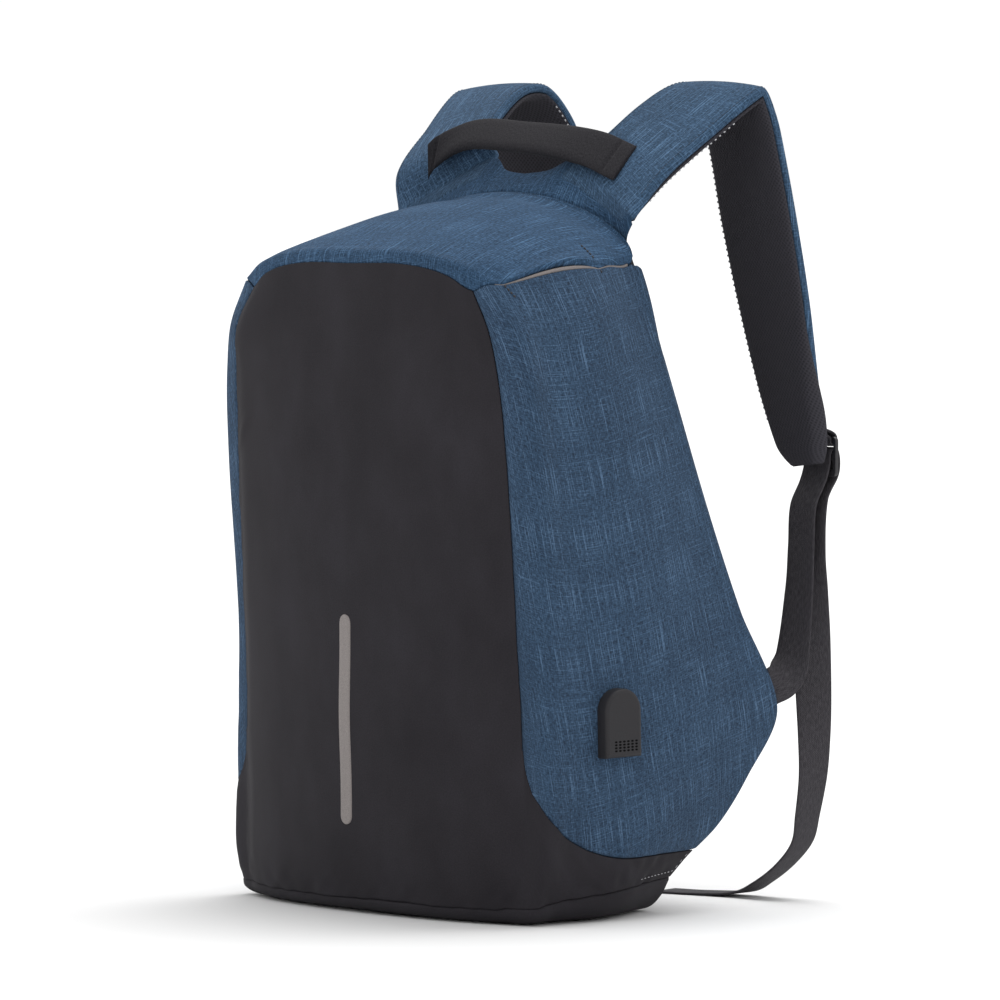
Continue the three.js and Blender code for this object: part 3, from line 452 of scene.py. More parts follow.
def finish(name, **sockets):
    """A new material and its nodes; sockets are the shader's plain values."""
    made = bpy.data.materials.new(name)
    made.use_nodes = True
    shader = made.node_tree.nodes["Principled BSDF"]
    for socket, value in sockets.items():
        shader.inputs[socket.replace("_", " ")].default_value = value
    return made, made.node_tree


def cloth_places(tree, turn=0.0):
    """Places on the flat cloth in millimetres, with the grain turned by some degrees."""
    flat = node(tree, "ShaderNodeUVMap", uv_map="cloth")
    turned = node(
        tree,
        "ShaderNodeMapping",
        {"Vector": flat.outputs["UV"], "Rotation": (0, 0, math.radians(turn)), "Scale": (1000, 1000, 1)},
    )
    return turned.outputs["Vector"]


def streaks(tree, places, along, across, detail=1.0):
    """Noise drawn out into streaks that are along by across millimetres."""
    scaled = node(tree, "ShaderNodeMapping", {"Vector": places, "Scale": (1 / along, 1 / across, 1)})
    return node(
        tree,
        "ShaderNodeTexNoise",
        {"Vector": scaled.outputs["Vector"], "Scale": 1.0, "Detail": detail, "Roughness": 0.55},
        noise_dimensions="2D",
    ).outputs["Fac"]


def weave(tree, places, pitch):
    """The height of a plain weave with threads pitch millimetres apart, from -1 to 1."""
    axes = node(tree, "ShaderNodeSeparateXYZ", {"Vector": places})
    waves = []
    for axis in ("X", "Y"):
        turned = {0: axes.outputs[axis], 1: 2 * math.pi / pitch}
        phase = node(tree, "ShaderNodeMath", turned, operation="MULTIPLY")
        waves.append(node(tree, "ShaderNodeMath", {0: phase.outputs[0]}, operation="SINE").outputs[0])
    return node(tree, "ShaderNodeMath", {0: waves[0], 1: waves[1]}, operation="MULTIPLY").outputs[0]


def mixed(tree, *patterns):
    """Patterns added up, each with its weight."""
    total = 0.0
    for pattern, weight in patterns:
        sum_so_far = {0: pattern, 1: weight, 2: total}
        total = node(tree, "ShaderNodeMath", sum_so_far, operation="MULTIPLY_ADD").outputs[0]
    return total


def dress(made, tone, stops, height, relief):
    """Colours a material by a pattern, and raises its surface by another, relief millimetres high."""
    tree = made.node_tree
    shader = tree.nodes["Principled BSDF"]
    ramp = node(tree, "ShaderNodeValToRGB", {"Fac": tone}, stops)
    tree.links.new(ramp.outputs["Color"], shader.inputs["Base Color"])
    raised = node(tree, "ShaderNodeBump", {"Height": height, "Distance": relief * MM, "Strength": 1.0})
    tree.links.new(raised.outputs["Normal"], shader.inputs["Normal"])
    return made


def heather_polyester(name, turn, blues):
    """Heather polyester, woven plain from yarns of several blues, with thicker slubs: a matt, streaked blue.

    Its threads lie about 0.4 mm apart, too fine to show. The weave is drawn 1.1 mm apart, and the streaks
    about 0.7 mm.
    """
    made, tree = finish(name, Roughness=0.9, Sheen_Weight=0.02, Sheen_Roughness=0.5, Specular_IOR_Level=0.1)
    places = cloth_places(tree, turn)
    fine = mixed(tree, (streaks(tree, places, 2.6, 0.8), 0.5), (streaks(tree, places, 0.8, 3.2), 0.5))
    slubs = []
    for along, across, first in ((0.65, 38, 0.6), (32, 0.65, 0.64)):
        drawn = {"Value": streaks(tree, places, along, across, 0.0), "From Min": first, "From Max": 0.85}
        slubs.append(node(tree, "ShaderNodeMapRange", drawn).outputs["Result"])
    tone = mixed(tree, (fine, 0.8), (slubs[0], 0.3), (slubs[1], 0.16), (streaks(tree, places, 50, 50), 0.1))
    stops = tuple(zip((0.3, 0.44, 0.56, 0.8), blues))
    height = mixed(tree, (weave(tree, places, 1.1), 0.4), (tone, 3.0))
    return dress(made, tone, stops, height, 0.16)


def coated_nylon(name):
    """Tightly woven black nylon with a smooth coating: nearly flat, with a soft broad shine.

    Its threads lie about 0.3 mm apart, too fine to show, and are drawn 0.8 mm apart.
    """
    made, tree = finish(name, Roughness=0.68, Specular_IOR_Level=0.1)
    places = cloth_places(tree)
    grain = streaks(tree, places, 1.1, 0.8, 2.0)
    tone = mixed(tree, (grain, 0.45), (streaks(tree, places, 45, 70, 3.0), 0.55))
    stops = ((0.3, "#232125"), (0.5, "#28262a"), (0.7, "#2d2b30"))
    height = mixed(tree, (weave(tree, places, 0.8), 0.35), (grain, 1.0))
    return dress(made, tone, stops, height, 0.05)


def air_mesh(name):
    """Black spacer mesh over foam, knitted with small holes 2.2 mm apart: dull, with painted shade in the
    holes.
    """
    made, tree = finish(name, Roughness=0.92, Specular_IOR_Level=0.12)
    places = cloth_places(tree, 45)
    rows = node(tree, "ShaderNodeMapping", {"Vector": places, "Scale": (1 / 2.2, 1 / 2.2, 1)})
    even = {"Vector": rows.outputs["Vector"], "Scale": 1.0, "Randomness": 0.0}
    holes = node(tree, "ShaderNodeTexVoronoi", even, voronoi_dimensions="2D").outputs["Distance"]
    # Painted shade: the ramp darkens the mesh towards the middle of each hole.
    stops = ((0.12, "#2c2b2f"), (0.3, "#36353a"), (0.6, "#3d3c42"))
    height = mixed(tree, (holes, 1.6), (streaks(tree, places, 0.9, 0.9, 2.0), 0.4))
    return dress(made, holes, stops, height, 0.35)


def woven_webbing(name):
    """Black polypropylene webbing, woven with ribs about 1.6 mm apart: dull, with a slight shine."""
    made, tree = finish(name, Roughness=0.75, Specular_IOR_Level=0.2)
    places = cloth_places(tree)
    ribs = weave(tree, places, 1.6)
    yarn = streaks(tree, places, 0.8, 4, 2.0)
    tone = mixed(tree, (yarn, 0.8), (ribs, 0.08))
    stops = ((0.25, "#2f2d31"), (0.42, "#3a383c"), (0.6, "#444246"))
    return dress(made, tone, stops, mixed(tree, (ribs, 0.6), (yarn, 0.8)), 0.16)


def brushed_tape(name):
    """Brushed black tape over foam, as soft as felt: very matt, with a fine nap."""
    made, tree = finish(name, Roughness=0.95, Sheen_Weight=0.03, Specular_IOR_Level=0.1)
    nap = streaks(tree, cloth_places(tree), 1.6, 0.7, 3.0)
    return dress(made, nap, ((0.3, "#201f22"), (0.5, "#28272a"), (0.72, "#323135")), nap, 0.25)


def grained(name, size, low, high, **sockets):
    """A solid material with an even grain, size millimetres wide and 0.03 mm high."""
    made, tree = finish(name, **sockets)
    where = node(tree, "ShaderNodeTexCoord").outputs["Object"]
    sized = node(tree, "ShaderNodeMapping", {"Vector": where, "Scale": (1000 / size,) * 3})
    even = {"Vector": sized.outputs["Vector"], "Scale": 1.0, "Detail": 2.0}
    grain = node(tree, "ShaderNodeTexNoise", even).outputs["Fac"]
    return dress(made, grain, ((0.35, low), (0.65, high)), grain, 0.03)


# One cloth, cut at three angles to its grain, with painted light in its blues. The top's blue is a shade
# clearer than the sides', painted as the top catches more light, and the straps' is paler, painted lighter
# against the shade on them.
SIDE_CLOTH = heather_polyester("heather_polyester_side", -12.5, ("#243040", "#2f4156", "#3a5068", "#536c88"))
TOP_CLOTH_PAINTED_LIGHT = heather_polyester("heather_polyester_top_painted_light", -6, ("#203144", "#2b425a", "#36506c", "#4e6d8d"))
STRAP_CLOTH_PAINTED_LIGHT = heather_polyester("heather_polyester_strap_painted_light", 3, ("#263749", "#33485e", "#3f5873", "#587593"))
BLACK_CLOTH = coated_nylon("coated_black_nylon")
STRAP_MESH = air_mesh("black_air_mesh")
WEBBING = woven_webbing("black_polypropylene_webbing")
HANDLE_TAPE = brushed_tape("brushed_black_tape")
# Acetal, moulded in a spark eroded tool: an even satin with a fine grain.
PLASTIC = grained("moulded_black_acetal", 0.4, "#1d1c20", "#252428", Roughness=0.48, IOR=1.48)
# Soft PVC, moulded with a matt face: it shows a little lighter than the cloth round it.
PORT_PLASTIC = grained(
    "moulded_soft_pvc", 0.5, "#232225", "#29282b", Roughness=0.6, IOR=1.53, Specular_IOR_Level=0.25
)
# Painted shade in the port's dimples: the same PVC, darkened where little light gets into them. The dimples
# are thin dark dots of it, and aren't sunk.
DIMPLE_SHADE = grained("painted_dimple_shade_pvc", 0.5, "#060607", "#0a0a0b", Roughness=0.8, Specular_IOR_Level=0.05)
# Glass beads bonded on cloth: a flat grey with a soft, broad gloss.
REFLECTIVE = grained("bonded_reflective_tape", 0.5, "#6f6967", "#837c7a", Roughness=0.5, Metallic=0.1)
# Spun polyester thread: matt, with a twist of about 0.3 mm.
DARK_THREAD = grained("spun_thread_black", 0.3, "#1d1c1f", "#2b2a2e", Roughness=0.7)
BLUE_THREAD = grained("spun_thread_blue", 0.3, "#223347", "#33495f", Roughness=0.7)
PALE_THREAD = grained("spun_thread_white", 0.3, "#a9a9ad", "#c4c4c8", Roughness=0.7)


# Making the pieces


def add_object(name, data):
    made = bpy.data.objects.new(name, data)
    bpy.context.scene.collection.objects.link(made)
    return made


def put_on_bag(name, mesh, look, replaced):
    """Makes a mesh a piece of the bag, with its look and the nodes that it stands for."""
    mesh.materials.append(look)
    mesh.polygons.foreach_set("use_smooth", [True] * len(mesh.polygons))
    made = add_object(name, mesh)
    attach(made, "root")
    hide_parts(*replaced)
    return made


def add_piece(name, points, faces, look, replaced=(), flat=None):
    """A mesh piece from points in millimetres; flat gives each point's place on the flat cloth."""
    mesh = bpy.data.meshes.new(name)
    mesh.from_pydata((np.asarray(points) * MM).tolist(), [], [list(map(int, face)) for face in faces])
    if flat is not None:
        layer = mesh.uv_layers.new(name="cloth")
        loops = np.empty(len(mesh.loops), np.int32)
        mesh.loops.foreach_get("vertex_index", loops)
        layer.data.foreach_set("uv", (np.asarray(flat)[loops] * MM).astype(np.float32).ravel())
    made = put_on_bag(name, mesh, look, replaced)
    mesh.update()
    return made


def shares(length, step, edges=(0.5, 1.4, 2.6)):
    """Places from 0 to 1 along a length in mm: about step apart, and closer by both ends."""
    inner = np.linspace(edges[-1] / length, 1 - edges[-1] / length, max(int(length / step), 2))
    ends = np.array((0,) + edges[:-1]) / length
    return np.concatenate([ends, inner, 1 - ends[::-1]])


def lay_flat(points, column, row, axis=0):
    """Where each point of a grid lies on the cloth before it was sewn, in mm."""
    steps = np.linalg.norm(np.diff(points, axis=0), axis=-1)
    along = np.concatenate([np.zeros((1, points.shape[1])), np.cumsum(steps, axis=0)])
    along = along - along[column] + points[column, :, axis]
    rises = np.linalg.norm(np.diff(points, axis=1), axis=-1)
    up = np.concatenate([np.zeros((points.shape[0], 1)), np.cumsum(rises, axis=1)], axis=1)
    up = up - up[:, row : row + 1]
    return np.stack([along, np.broadcast_to(up, along.shape)], axis=-1)


def grid_faces(columns, rows, covered=None):
    i, j = np.meshgrid(np.arange(columns - 1), np.arange(rows - 1), indexing="ij")
    if covered is not None:
        keep = covered(i, j)
        i, j = i[keep], j[keep]
    i, j = i.ravel(), j.ravel()
    return np.stack([i * rows + j, (i + 1) * rows + j, (i + 1) * rows + j + 1, i * rows + j + 1], axis=1)


def cloth(name, grid, look, slot, flat=None, covered=None, tuck=WALL, inner=None, roll=1.6, closed=False):
    """A sewn panel: a grid of points whose edges are rolled over and turned in by tuck millimetres."""
    columns, rows = grid.shape[:2]
    if flat is None:
        flat = lay_flat(grid, columns // 2, rows // 2)
    inner = inward(grid) if inner is None else np.broadcast_to(inner, grid.shape)
    points, flat, inner = grid.reshape(-1, 3).copy(), flat.reshape(-1, 2), inner.reshape(-1, 3)
    faces = grid_faces(columns, rows, covered)
    a, b, c = (points[faces[:, k]] for k in (0, 1, 2))
    normal = np.cross(b - a, c - a)
    if (normal * inner[faces[:, 0]]).sum() > 0:
        faces = faces[:, ::-1]
    if closed:
        faces = np.where(faces >= (columns - 1) * rows, faces - (columns - 1) * rows, faces)
    used, faces = np.unique(faces, return_inverse=True)
    faces = faces.reshape(-1, 4)
    points, flat, inner = points[used], flat[used], inner[used]
    edges = np.concatenate([faces[:, [k, (k + 1) % 4]] for k in range(4)])
    key = np.sort(edges, axis=1)
    _, first, count = np.unique(key, axis=0, return_index=True, return_counts=True)
    border = edges[first[count == 1]]
    rim = np.unique(border)
    place = {int(vertex): k for k, vertex in enumerate(rim)}
    nearest = KDTree(len(rim))
    for k, vertex in enumerate(rim):
        nearest.insert(points[vertex], k)
    nearest.balance()
    to_edge = np.array([nearest.find(point)[2] for point in points])
    left = np.clip(roll - to_edge, 0, roll)
    points += inner * (roll - np.sqrt(roll * roll - left * left))[:, None]
    layers = [points]
    faces = faces.tolist()
    previous = {int(v): int(v) for v in rim}
    total = len(points)
    for depth in (0.5 * tuck, tuck):
        layers.append(points[rim] + inner[rim] * depth)
        current = {int(v): total + place[int(v)] for v in rim}
        faces += [[previous[int(q)], previous[int(p)], current[int(p)], current[int(q)]] for p, q in border]
        previous = current
        total += len(rim)
    flats = np.concatenate([flat] + [flat[rim]] * 2)
    return add_piece(name, np.concatenate(layers), faces, look, [name], flats)


def tube(name, rings, look):
    """A closed skin over rings of points, capped at both ends."""
    count, around = rings.shape[:2]
    i, k = np.meshgrid(np.arange(count - 1), np.arange(around), indexing="ij")
    i, k = i.ravel(), k.ravel()
    after = (k + 1) % around
    faces = np.stack([i * around + k, i * around + after, (i + 1) * around + after, (i + 1) * around + k], 1)
    points = rings.reshape(-1, 3)
    middle = points.mean(axis=0)
    a, b, c = (points[faces[:, j]] - middle for j in (0, 1, 2))
    volume = np.einsum("ij,ij->i", a, np.cross(b, c)).sum()
    caps = [list(range(around))[::-1], [(count - 1) * around + j for j in range(around)]]
    if volume < 0:
        faces, caps = faces[:, ::-1], [cap[::-1] for cap in caps]
    steps = np.linalg.norm(np.diff(rings, axis=1), axis=-1)
    across = np.concatenate([np.zeros((count, 1)), np.cumsum(steps, axis=1)], axis=1)
    middles = rings.mean(axis=1)
    along = np.concatenate([[0], np.cumsum(np.linalg.norm(np.diff(middles, axis=0), axis=-1))])
    flat = np.stack([across, np.broadcast_to(along[:, None], across.shape)], axis=-1).reshape(-1, 2)
    return add_piece(name, points, faces.tolist() + caps, look, [name], flat)


def band_rings(inner, outer, section):
    """Rings of a band between two edge lines; section(k) gives its shares across and heights at ring k."""
    before = np.concatenate([inner[:1] + outer[:1], (inner + outer)[:-1]])
    after = np.concatenate([(inner + outer)[1:], inner[-1:] + outer[-1:]])
    width = outer - inner
    normal = unit(np.cross(width, after - before))
    rings = []
    for k in range(len(inner)):
        profile = np.asarray(section(k), float)
        rings.append(inner[k] + profile[:, :1] * width[k] + profile[:, 1:] * normal[k])
    return np.array(rings), normal


def stitches(path, out, pitch=3.4, length=2.3, width=0.6, height=0.45):
    """Stitches along a path, as points and faces; out is the way off the cloth at each point of the path."""
    steps = np.linalg.norm(np.diff(path, axis=0), axis=-1)
    along = np.concatenate([[0], np.cumsum(steps)])
    count = max(int(along[-1] / pitch), 1)
    middles = (np.arange(count) + 0.5) * along[-1] / count
    points, faces = [], []

    def at(places, values):
        return np.stack([np.interp(places, along, values[:, axis]) for axis in range(3)], axis=-1)

    for middle in middles:
        places = middle + length * np.array([-0.5, -0.3, 0.3, 0.5])
        line, away = at(places, path), unit(at(places, out))
        ahead = unit(line[-1] - line[0])
        for spot, up, grown in zip(line, away, (0.15, 1, 1, 0.15)):
            beside = unit(np.cross(ahead, up)) * width / 2 * max(grown, 0.5)
            top = up * height * grown
            points += [spot - beside - up * 0.3, spot - beside + 0.6 * top, spot + top,
                       spot + beside + 0.6 * top, spot + beside - up * 0.3]
        start = len(points) - 20
        for ring in range(3):
            for k in range(5):
                n = (k + 1) % 5
                a = start + ring * 5
                faces.append([a + k, a + n, a + 5 + n, a + 5 + k])
        faces += [[start + 4, start + 3, start + 2, start + 1, start],
                  [start + 15 + k for k in range(5)]]
    return np.array(points), faces


def add_stitches(name, rows, look):
    """One piece of all the stitch rows: each row is a path, its outward ways, and settings for stitches()."""
    points, faces = [], []
    for path, out, settings in rows:
        made, cells = stitches(path, out, **settings)
        start = sum(len(p) for p in points)
        points.append(made)
        faces += [[start + v for v in cell] for cell in cells]
    return add_piece(name, np.concatenate(points), faces, look)


def same(points):
    return points


def mirrored(points):
    return points * np.array([-1.0, 1.0, 1.0])


def on_bag(turn, level, lift=0.0):
    """Points on the bag, and the ways out of it there."""
    points = surface(turn, level)
    ahead = surface(np.asarray(turn) + 0.004, level) - points
    up = surface(turn, np.asarray(level) + 0.004) - points
    out = unit(np.cross(ahead, up))
    out = np.where((out * inward(points)).sum(-1, keepdims=True) > 0, -out, out)
    return points + out * lift, out


# The bag's panels


# Soft creases in the front's cloth: where each one lies, its slope, its half length and its height.
FRONT_CREASES = [
    (118, 303, -0.25, 22, 1.5),
    (92, 238, 0.12, 34, 1.3),
    (-128, 300, 0.9, 12, 1.1),
    (60, 368, 0.5, 16, 0.8),
]
CREASE_REACH = 6
PUCKER_SIZE = 10  # the puckers by the seams are about this wide
WAVE_SIZE = 80
WAVE_HEIGHT = 0.6


def sewn_surface(turn, level):
    """surface() with the cloth's own unevenness: soft waves, and puckers beside the seams."""
    turn, level = np.broadcast_arrays(np.asarray(turn, float), np.asarray(level, float))
    points = surface(turn, level)
    around = np.abs(turn)
    beside = outside(1.0, level)[..., 0] - np.abs(points[..., 0])
    front_seam = np.where(around < 1.3, bump(np.abs(beside) - 4, 6), 0)
    wrap_seam = np.where(around > 1, bump((level - wrap_level(turn)) * BAG_HEIGHT, 9), 0)
    base_seam = bump((level - base_level(turn)) * BAG_HEIGHT - 4, 9)
    pucker = ripple(points, PUCKER_SIZE, 3) * (0.3 * front_seam + 0.5 * wrap_seam + 0.5 * base_seam)
    inside = np.clip((1 - level) * 8, 0, 1) * np.clip((2 - around) * 6, 0, 1)
    wave = ripple(points, WAVE_SIZE, 5) * WAVE_HEIGHT * inside
    crease = np.zeros(points.shape[:-1])
    for x, z, slope, half, high in FRONT_CREASES:
        along = points[..., 0] - x
        across = points[..., 2] - z - slope * along
        crease += high * bump(across, CREASE_REACH) * bump(along, half) * np.clip((1 - around) * 8, 0, 1)
    return points - inward(points) * (pucker * inside + wave + crease)[..., None]


def front_points(turn, v):
    around = np.abs(turn)
    low = level_near(base_level(turn), HALF_GAP)
    edge = level_near(np.where(around > 1, wrap_level(turn), wrap_level(1.0)), -HALF_GAP)
    level = np.where(v <= 1, mix(low, edge, v), mix(edge, level_near(1.0, -HALF_GAP), v - 1))
    stop = (around >= 0.999) & ((v > 1) | (around > 1.99))
    place = np.where(stop, turn_near(around, level, -HALF_GAP) * np.sign(turn), turn)
    return sewn_surface(place, level)


def front_panel():
    wrap = 1 + shares(160, 2.4)[1:]
    face = mix(-1, 1, shares(290, 2.2))
    turns = np.concatenate([-wrap[::-1], face, wrap])
    rows = np.concatenate([shares(90, 2.2), 1 + shares(300, 2.6)[1:]])
    first, low = len(wrap), len(shares(90, 2.2)) - 1
    turn, v = np.meshgrid(turns, rows, indexing="ij")

    def covered(i, j):
        return (j < low) | ((i >= first) & (i < first + len(face) - 1))

    grid = front_points(turn, v)
    cloth("front_panel", grid, BLACK_CLOTH, "black_cloth", covered=covered, roll=1.1)


SLIDER_HEIGHT = 257
FLAP_WIDTH = 14  # the side cloth reaches this far round the back corner, over the zip
FLAP_LIFT = 0.7
SLIDER_BULGE = 4.4  # how far the flap rises over the zip's slider


def back_top(x):
    """Where the back panel ends over places x: under the yoke's edge, and by its corners under the zip."""
    across = np.minimum(np.abs(x) / HALF_WIDTH, YOKE_EDGE["x"][-1])
    zip_edge = dome_edge(np.minimum(np.abs(x) / outside(2.0, 1.0)[0], 1))
    edge_y = setback(read(YOKE_EDGE, "x", "y", across))
    edge_z = read(YOKE_EDGE, "x", "z", across) * STRAP_TOP
    f = np.clip((YOKE_CORNER - across) / YOKE_BLEND, 0, 1)
    y = np.maximum(edge_y, zip_edge[..., 1] + ZIP_WIDTH + UNDER_YOKE)
    return y, mix(zip_edge[..., 2] - ZIP_THICKNESS - UNDER_YOKE, edge_z - YOKE_THICKNESS - UNDER_YOKE, f)


def back_points(turn, level, share=1.0):
    """The back, which leans out to the yoke's edge near its top; share is how much of the lean it gets."""
    points = surface(turn, level)
    top = surface(turn, 1.0)
    end_y, end_z = back_top(top[..., 0])
    lean = np.clip((level - YOKE_LEAN) / (0.97 - YOKE_LEAN), 0, 1)
    points[..., 1] += share * (end_y - top[..., 1]) * ease(lean)
    points[..., 2] += share * np.minimum(end_z - top[..., 2], 0) * lean
    return points


def side_points(u, v, over_slider=0.0):
    """The side panel: u from the front seam (0) to the back corner (1), and on over the zip behind it (2)."""
    level = mix(level_near(wrap_level(mix(1, 2, np.minimum(u, 1))), HALF_GAP), level_near(1.0, -HALF_GAP), v)
    first = turn_near(np.ones_like(level), level, HALF_GAP)
    turn = mix(first, 2 - 1e-6, np.minimum(u, 1))
    points = sewn_surface(turn, level)
    over = np.clip(u - 1, 0, 1)
    behind = 2 + 1e-6 + over * FLAP_WIDTH / HALF_WIDTH
    flap = back_points(behind, level / read(RIM, "turn", "height", behind), np.clip(over * 3, 0, 1))
    bulge = over_slider * bump(level * BAG_HEIGHT - SLIDER_HEIGHT, 16) * np.minimum(over * 9, 1)
    flap -= inward(flap) * (FLAP_LIFT + bulge)[..., None]
    points = np.where((u > 1)[..., None], flap, points)
    edge = (1 - level) * BAG_HEIGHT
    points[..., 2] += (slit_rise(np.minimum(u, 1)) * (u <= 1) + 2.5 * over) * bump(edge, 14)
    return points


def side_panels():
    across = np.concatenate([shares(160, 2.0)[:-3], [1.0, 1.08, 1.2, 1.35, 1.5, 1.65, 1.8, 1.9, 1.96, 2.0]])
    u, v = np.meshgrid(across, shares(320, 2.4), indexing="ij")
    grid = side_points(u, v)
    flat = lay_flat(grid, 40, 70, axis=1)
    cloth("side_panel_right", grid, SIDE_CLOTH, "heather_cloth", flat)
    left = mirrored(side_points(u, v, SLIDER_BULGE))
    cloth("side_panel_left", left, SIDE_CLOTH, "heather_cloth", flat * [-1, 1])


def top_panel():
    s, r = np.meshgrid(mix(-1, 1, shares(250, 2.0)), shares(150, 2.0)[:-3], indexing="ij")
    grid = dome(s, r)
    calm = (1 - s**2) * np.sin(math.pi * r)
    grid[..., 2] += 0.8 * ripple(grid, 60, 8) * calm
    over = np.array([0, 0.12, 0.25, 0.4, 0.55, 0.7, 0.85, 1.0, 1.15])
    back = dome(s[:, :1], np.ones_like(s[:, :1]))
    flap = np.repeat(back, len(over), axis=1)
    flap[..., 1] += ZIP_WIDTH * over * (1 - 0.7 * np.abs(s[:, :1]) ** 10)
    flap[..., 2] += 0.6 * over - 1.8 * np.sin(math.pi * np.minimum(over, 1)) ** 0.7
    grid = np.concatenate([grid, flap], axis=1)
    made = cloth("top_panel", grid, TOP_CLOTH_PAINTED_LIGHT, "heather_cloth")


def base_panel():
    back = mix(2, 4, shares(230, 3.0))[1:-1]
    wrap = 1 + shares(160, 3.0)[1:]
    face = mix(-1, 1, shares(290, 3.0))
    around = np.concatenate([-wrap[::-1], face, wrap, np.where(back > 3, back - 6, back)])
    seam = surface(around, level_near(base_level(around), -HALF_GAP))
    seam = np.concatenate([seam, seam[:1]])
    middle = np.array([0, setback(0.38), 0])
    to_middle = unit((middle - seam) * [1, 1, 0])
    q = np.linspace(0, 1, 20)
    third = np.array([0, 0.33, 0.66, 1])
    behind = np.clip(seam[:, 1:2] / 60, 0, 1)
    lines = np.array([[0, 0.07, 0.4, 1], [0, 0.2, 0.5, 1]])
    upright, sloped = (smooth_line(third, line, q) for line in lines)
    inset = mix(upright, sloped, behind)
    height = smooth_line(third, np.array([1, 0.5, 0.13, 0]), q)
    side = seam[:, None] + to_middle[:, None] * inset[..., None] * FLAT_INSET
    side[..., 2] = seam[:, None, 2] * height
    pucker = ripple(side, 12, 21) * 0.25 * bump(side[..., 2] - seam[:, None, 2], 8)
    side += pucker[..., None] * to_middle[:, None]
    rings = [side] + [mix(side[:, -1:], middle, f) for f in (0.3, 0.6, 0.9, 0.999)]
    grid = np.concatenate(rings, axis=1)
    cloth("base_panel", grid, BLACK_CLOTH, "black_cloth", closed=True, roll=0.8)


def under_corner(points):
    """Sinks what lies at the bag's top back corners, where the side cloth meets the top over it."""
    away = np.linalg.norm(np.abs(points) - np.abs(surface(2.0, 1.0)), axis=-1)
    return inward(points) * (5 * bump(away, 10))[..., None]


CHANNEL_PLACE = 46  # two sewn channels run up the padded back, this far from its middle
CHANNEL_REACH = 5
CHANNEL_DEPTH = 4.2


def back_panel():
    u, v = np.meshgrid(mix(2, 4, shares(250, 2.6)), shares(430, 3.0), indexing="ij")
    side = np.where(u < 3, 1, -1)
    around = mix(ZIP_TURN, 3, 1 - np.abs(u - 3))
    level = mix(level_near(base_level(around), HALF_GAP), level_near(1.0, -HALF_GAP), v)
    points = back_points(around, level)
    ends = np.clip((level - 0.12) * 14, 0, 1) * np.clip((0.86 - level) * 14, 0, 1)
    channel = CHANNEL_DEPTH * bump(points[..., 0] - CHANNEL_PLACE, CHANNEL_REACH) * ends
    points += inward(points) * channel[..., None] + under_corner(points)
    points[..., 0] *= side
    made = cloth("back_panel", points, STRAP_MESH, "air_mesh", tuck=BACK_WALL, roll=3)


def main_zip():
    levels = np.linspace(0.15, 0.999, 130)

    def pair(side):
        lines = []
        for turn in (2 + (GAP + HALF_GAP) / HALF_WIDTH, ZIP_TURN - GAP / HALF_WIDTH):
            points = surface(side * turn, levels)
            lines.append(points + inward(points) * ZIP_INSET)
        return lines

    s = np.cos(np.linspace(0.1, math.pi - 0.1, 120))
    edge = dome_edge(s)
    front, back = edge + [0, GAP, -3.5], edge + [0, ZIP_WIDTH, -2.5]
    right, left = pair(1), pair(-1)
    front = np.concatenate([right[0], front, left[0][::-1]])
    back = np.concatenate([right[1], back, left[1][::-1]])
    profile = np.array([(0, 0), (0.2, 0), (0.42, -0.1), (0.5, 0.7), (0.58, -0.1), (0.8, 0), (1, 0)])
    grid = mix(front[:, None], back[:, None], profile[:, :1])
    grid += inward(grid) * profile[:, 1:] + under_corner(grid)
    cloth("main_zip", grid, WEBBING, "webbing", tuck=ZIP_THICKNESS, roll=0.3)


def reflective_stripe():
    """The stripe with round ends, 2 mm higher than in the part's source, where the photograph has it."""
    radius, middle = STRIPE_WIDTH / 2, STRIPE_MIDDLE + 2
    end = STRIPE_LENGTH / 2 - radius * (1 - np.cos(np.linspace(0, math.pi / 2, 9)))
    z = middle + np.concatenate([-end, np.linspace(-end[-1], end[-1], 80)[1:-1], end[::-1]])
    to_end = np.minimum(STRIPE_LENGTH / 2 - np.abs(z - middle), radius)
    half = np.sqrt(np.maximum(radius**2 - (radius - to_end) ** 2, 0.05))
    x = np.linspace(-1, 1, 9)[:, None] * half
    seam_x = outside(1.0, z / BAG_HEIGHT)[:, 0]
    grid = sewn_surface(0.5 * x / (0.52 * seam_x), np.broadcast_to(z / BAG_HEIGHT, x.shape))
    grid[..., 0] = x
    grid[..., 1] -= 0.5
    away = np.array([0, 1.0, 0])
    cloth("reflective_stripe", grid, REFLECTIVE, "reflective_tape", tuck=0.5, inner=away, roll=0.3)


def slit_trims():
    u, v = np.meshgrid(shares(140, 1.6), np.linspace(0, 1, 6), indexing="ij")
    r = mix(0.1, 0.98, u)
    edge = surface(1 + r, 1.0)
    edge += inward(edge) * 0.9
    edge[..., 2] += slit_rise(r) + mix(GAP - 1, np.maximum(0.42 * lip_lift(r), 0.2), v)
    inner = unit(inward(edge) * [1, 1, 0])
    for side, flip in (("right", same), ("left", mirrored)):
        turned = dict(tuck=1, inner=flip(inner), roll=0.3)
        cloth("slit_trim_" + side, flip(edge), REFLECTIVE, "reflective_tape", **turned)


# The carrying system


def yoke_point(s, r):
    """The yoke: s from left (-1) to right (1), r from the zip (0) up to its high edge (1)."""
    low = dome_edge(s * (0.94 - 0.04 * np.abs(s) ** 6)) + np.array([0, ZIP_WIDTH + GAP, 1])
    x, y, z = (read(YOKE_EDGE, "place", axis, np.abs(s)) for axis in "xyz")
    high = xyz(np.sign(s) * x * HALF_WIDTH, setback(y), z * STRAP_TOP)
    points = mix(low, high, r[..., None])
    points[..., 1] -= 1.5 * np.sin(math.pi * r)
    return points


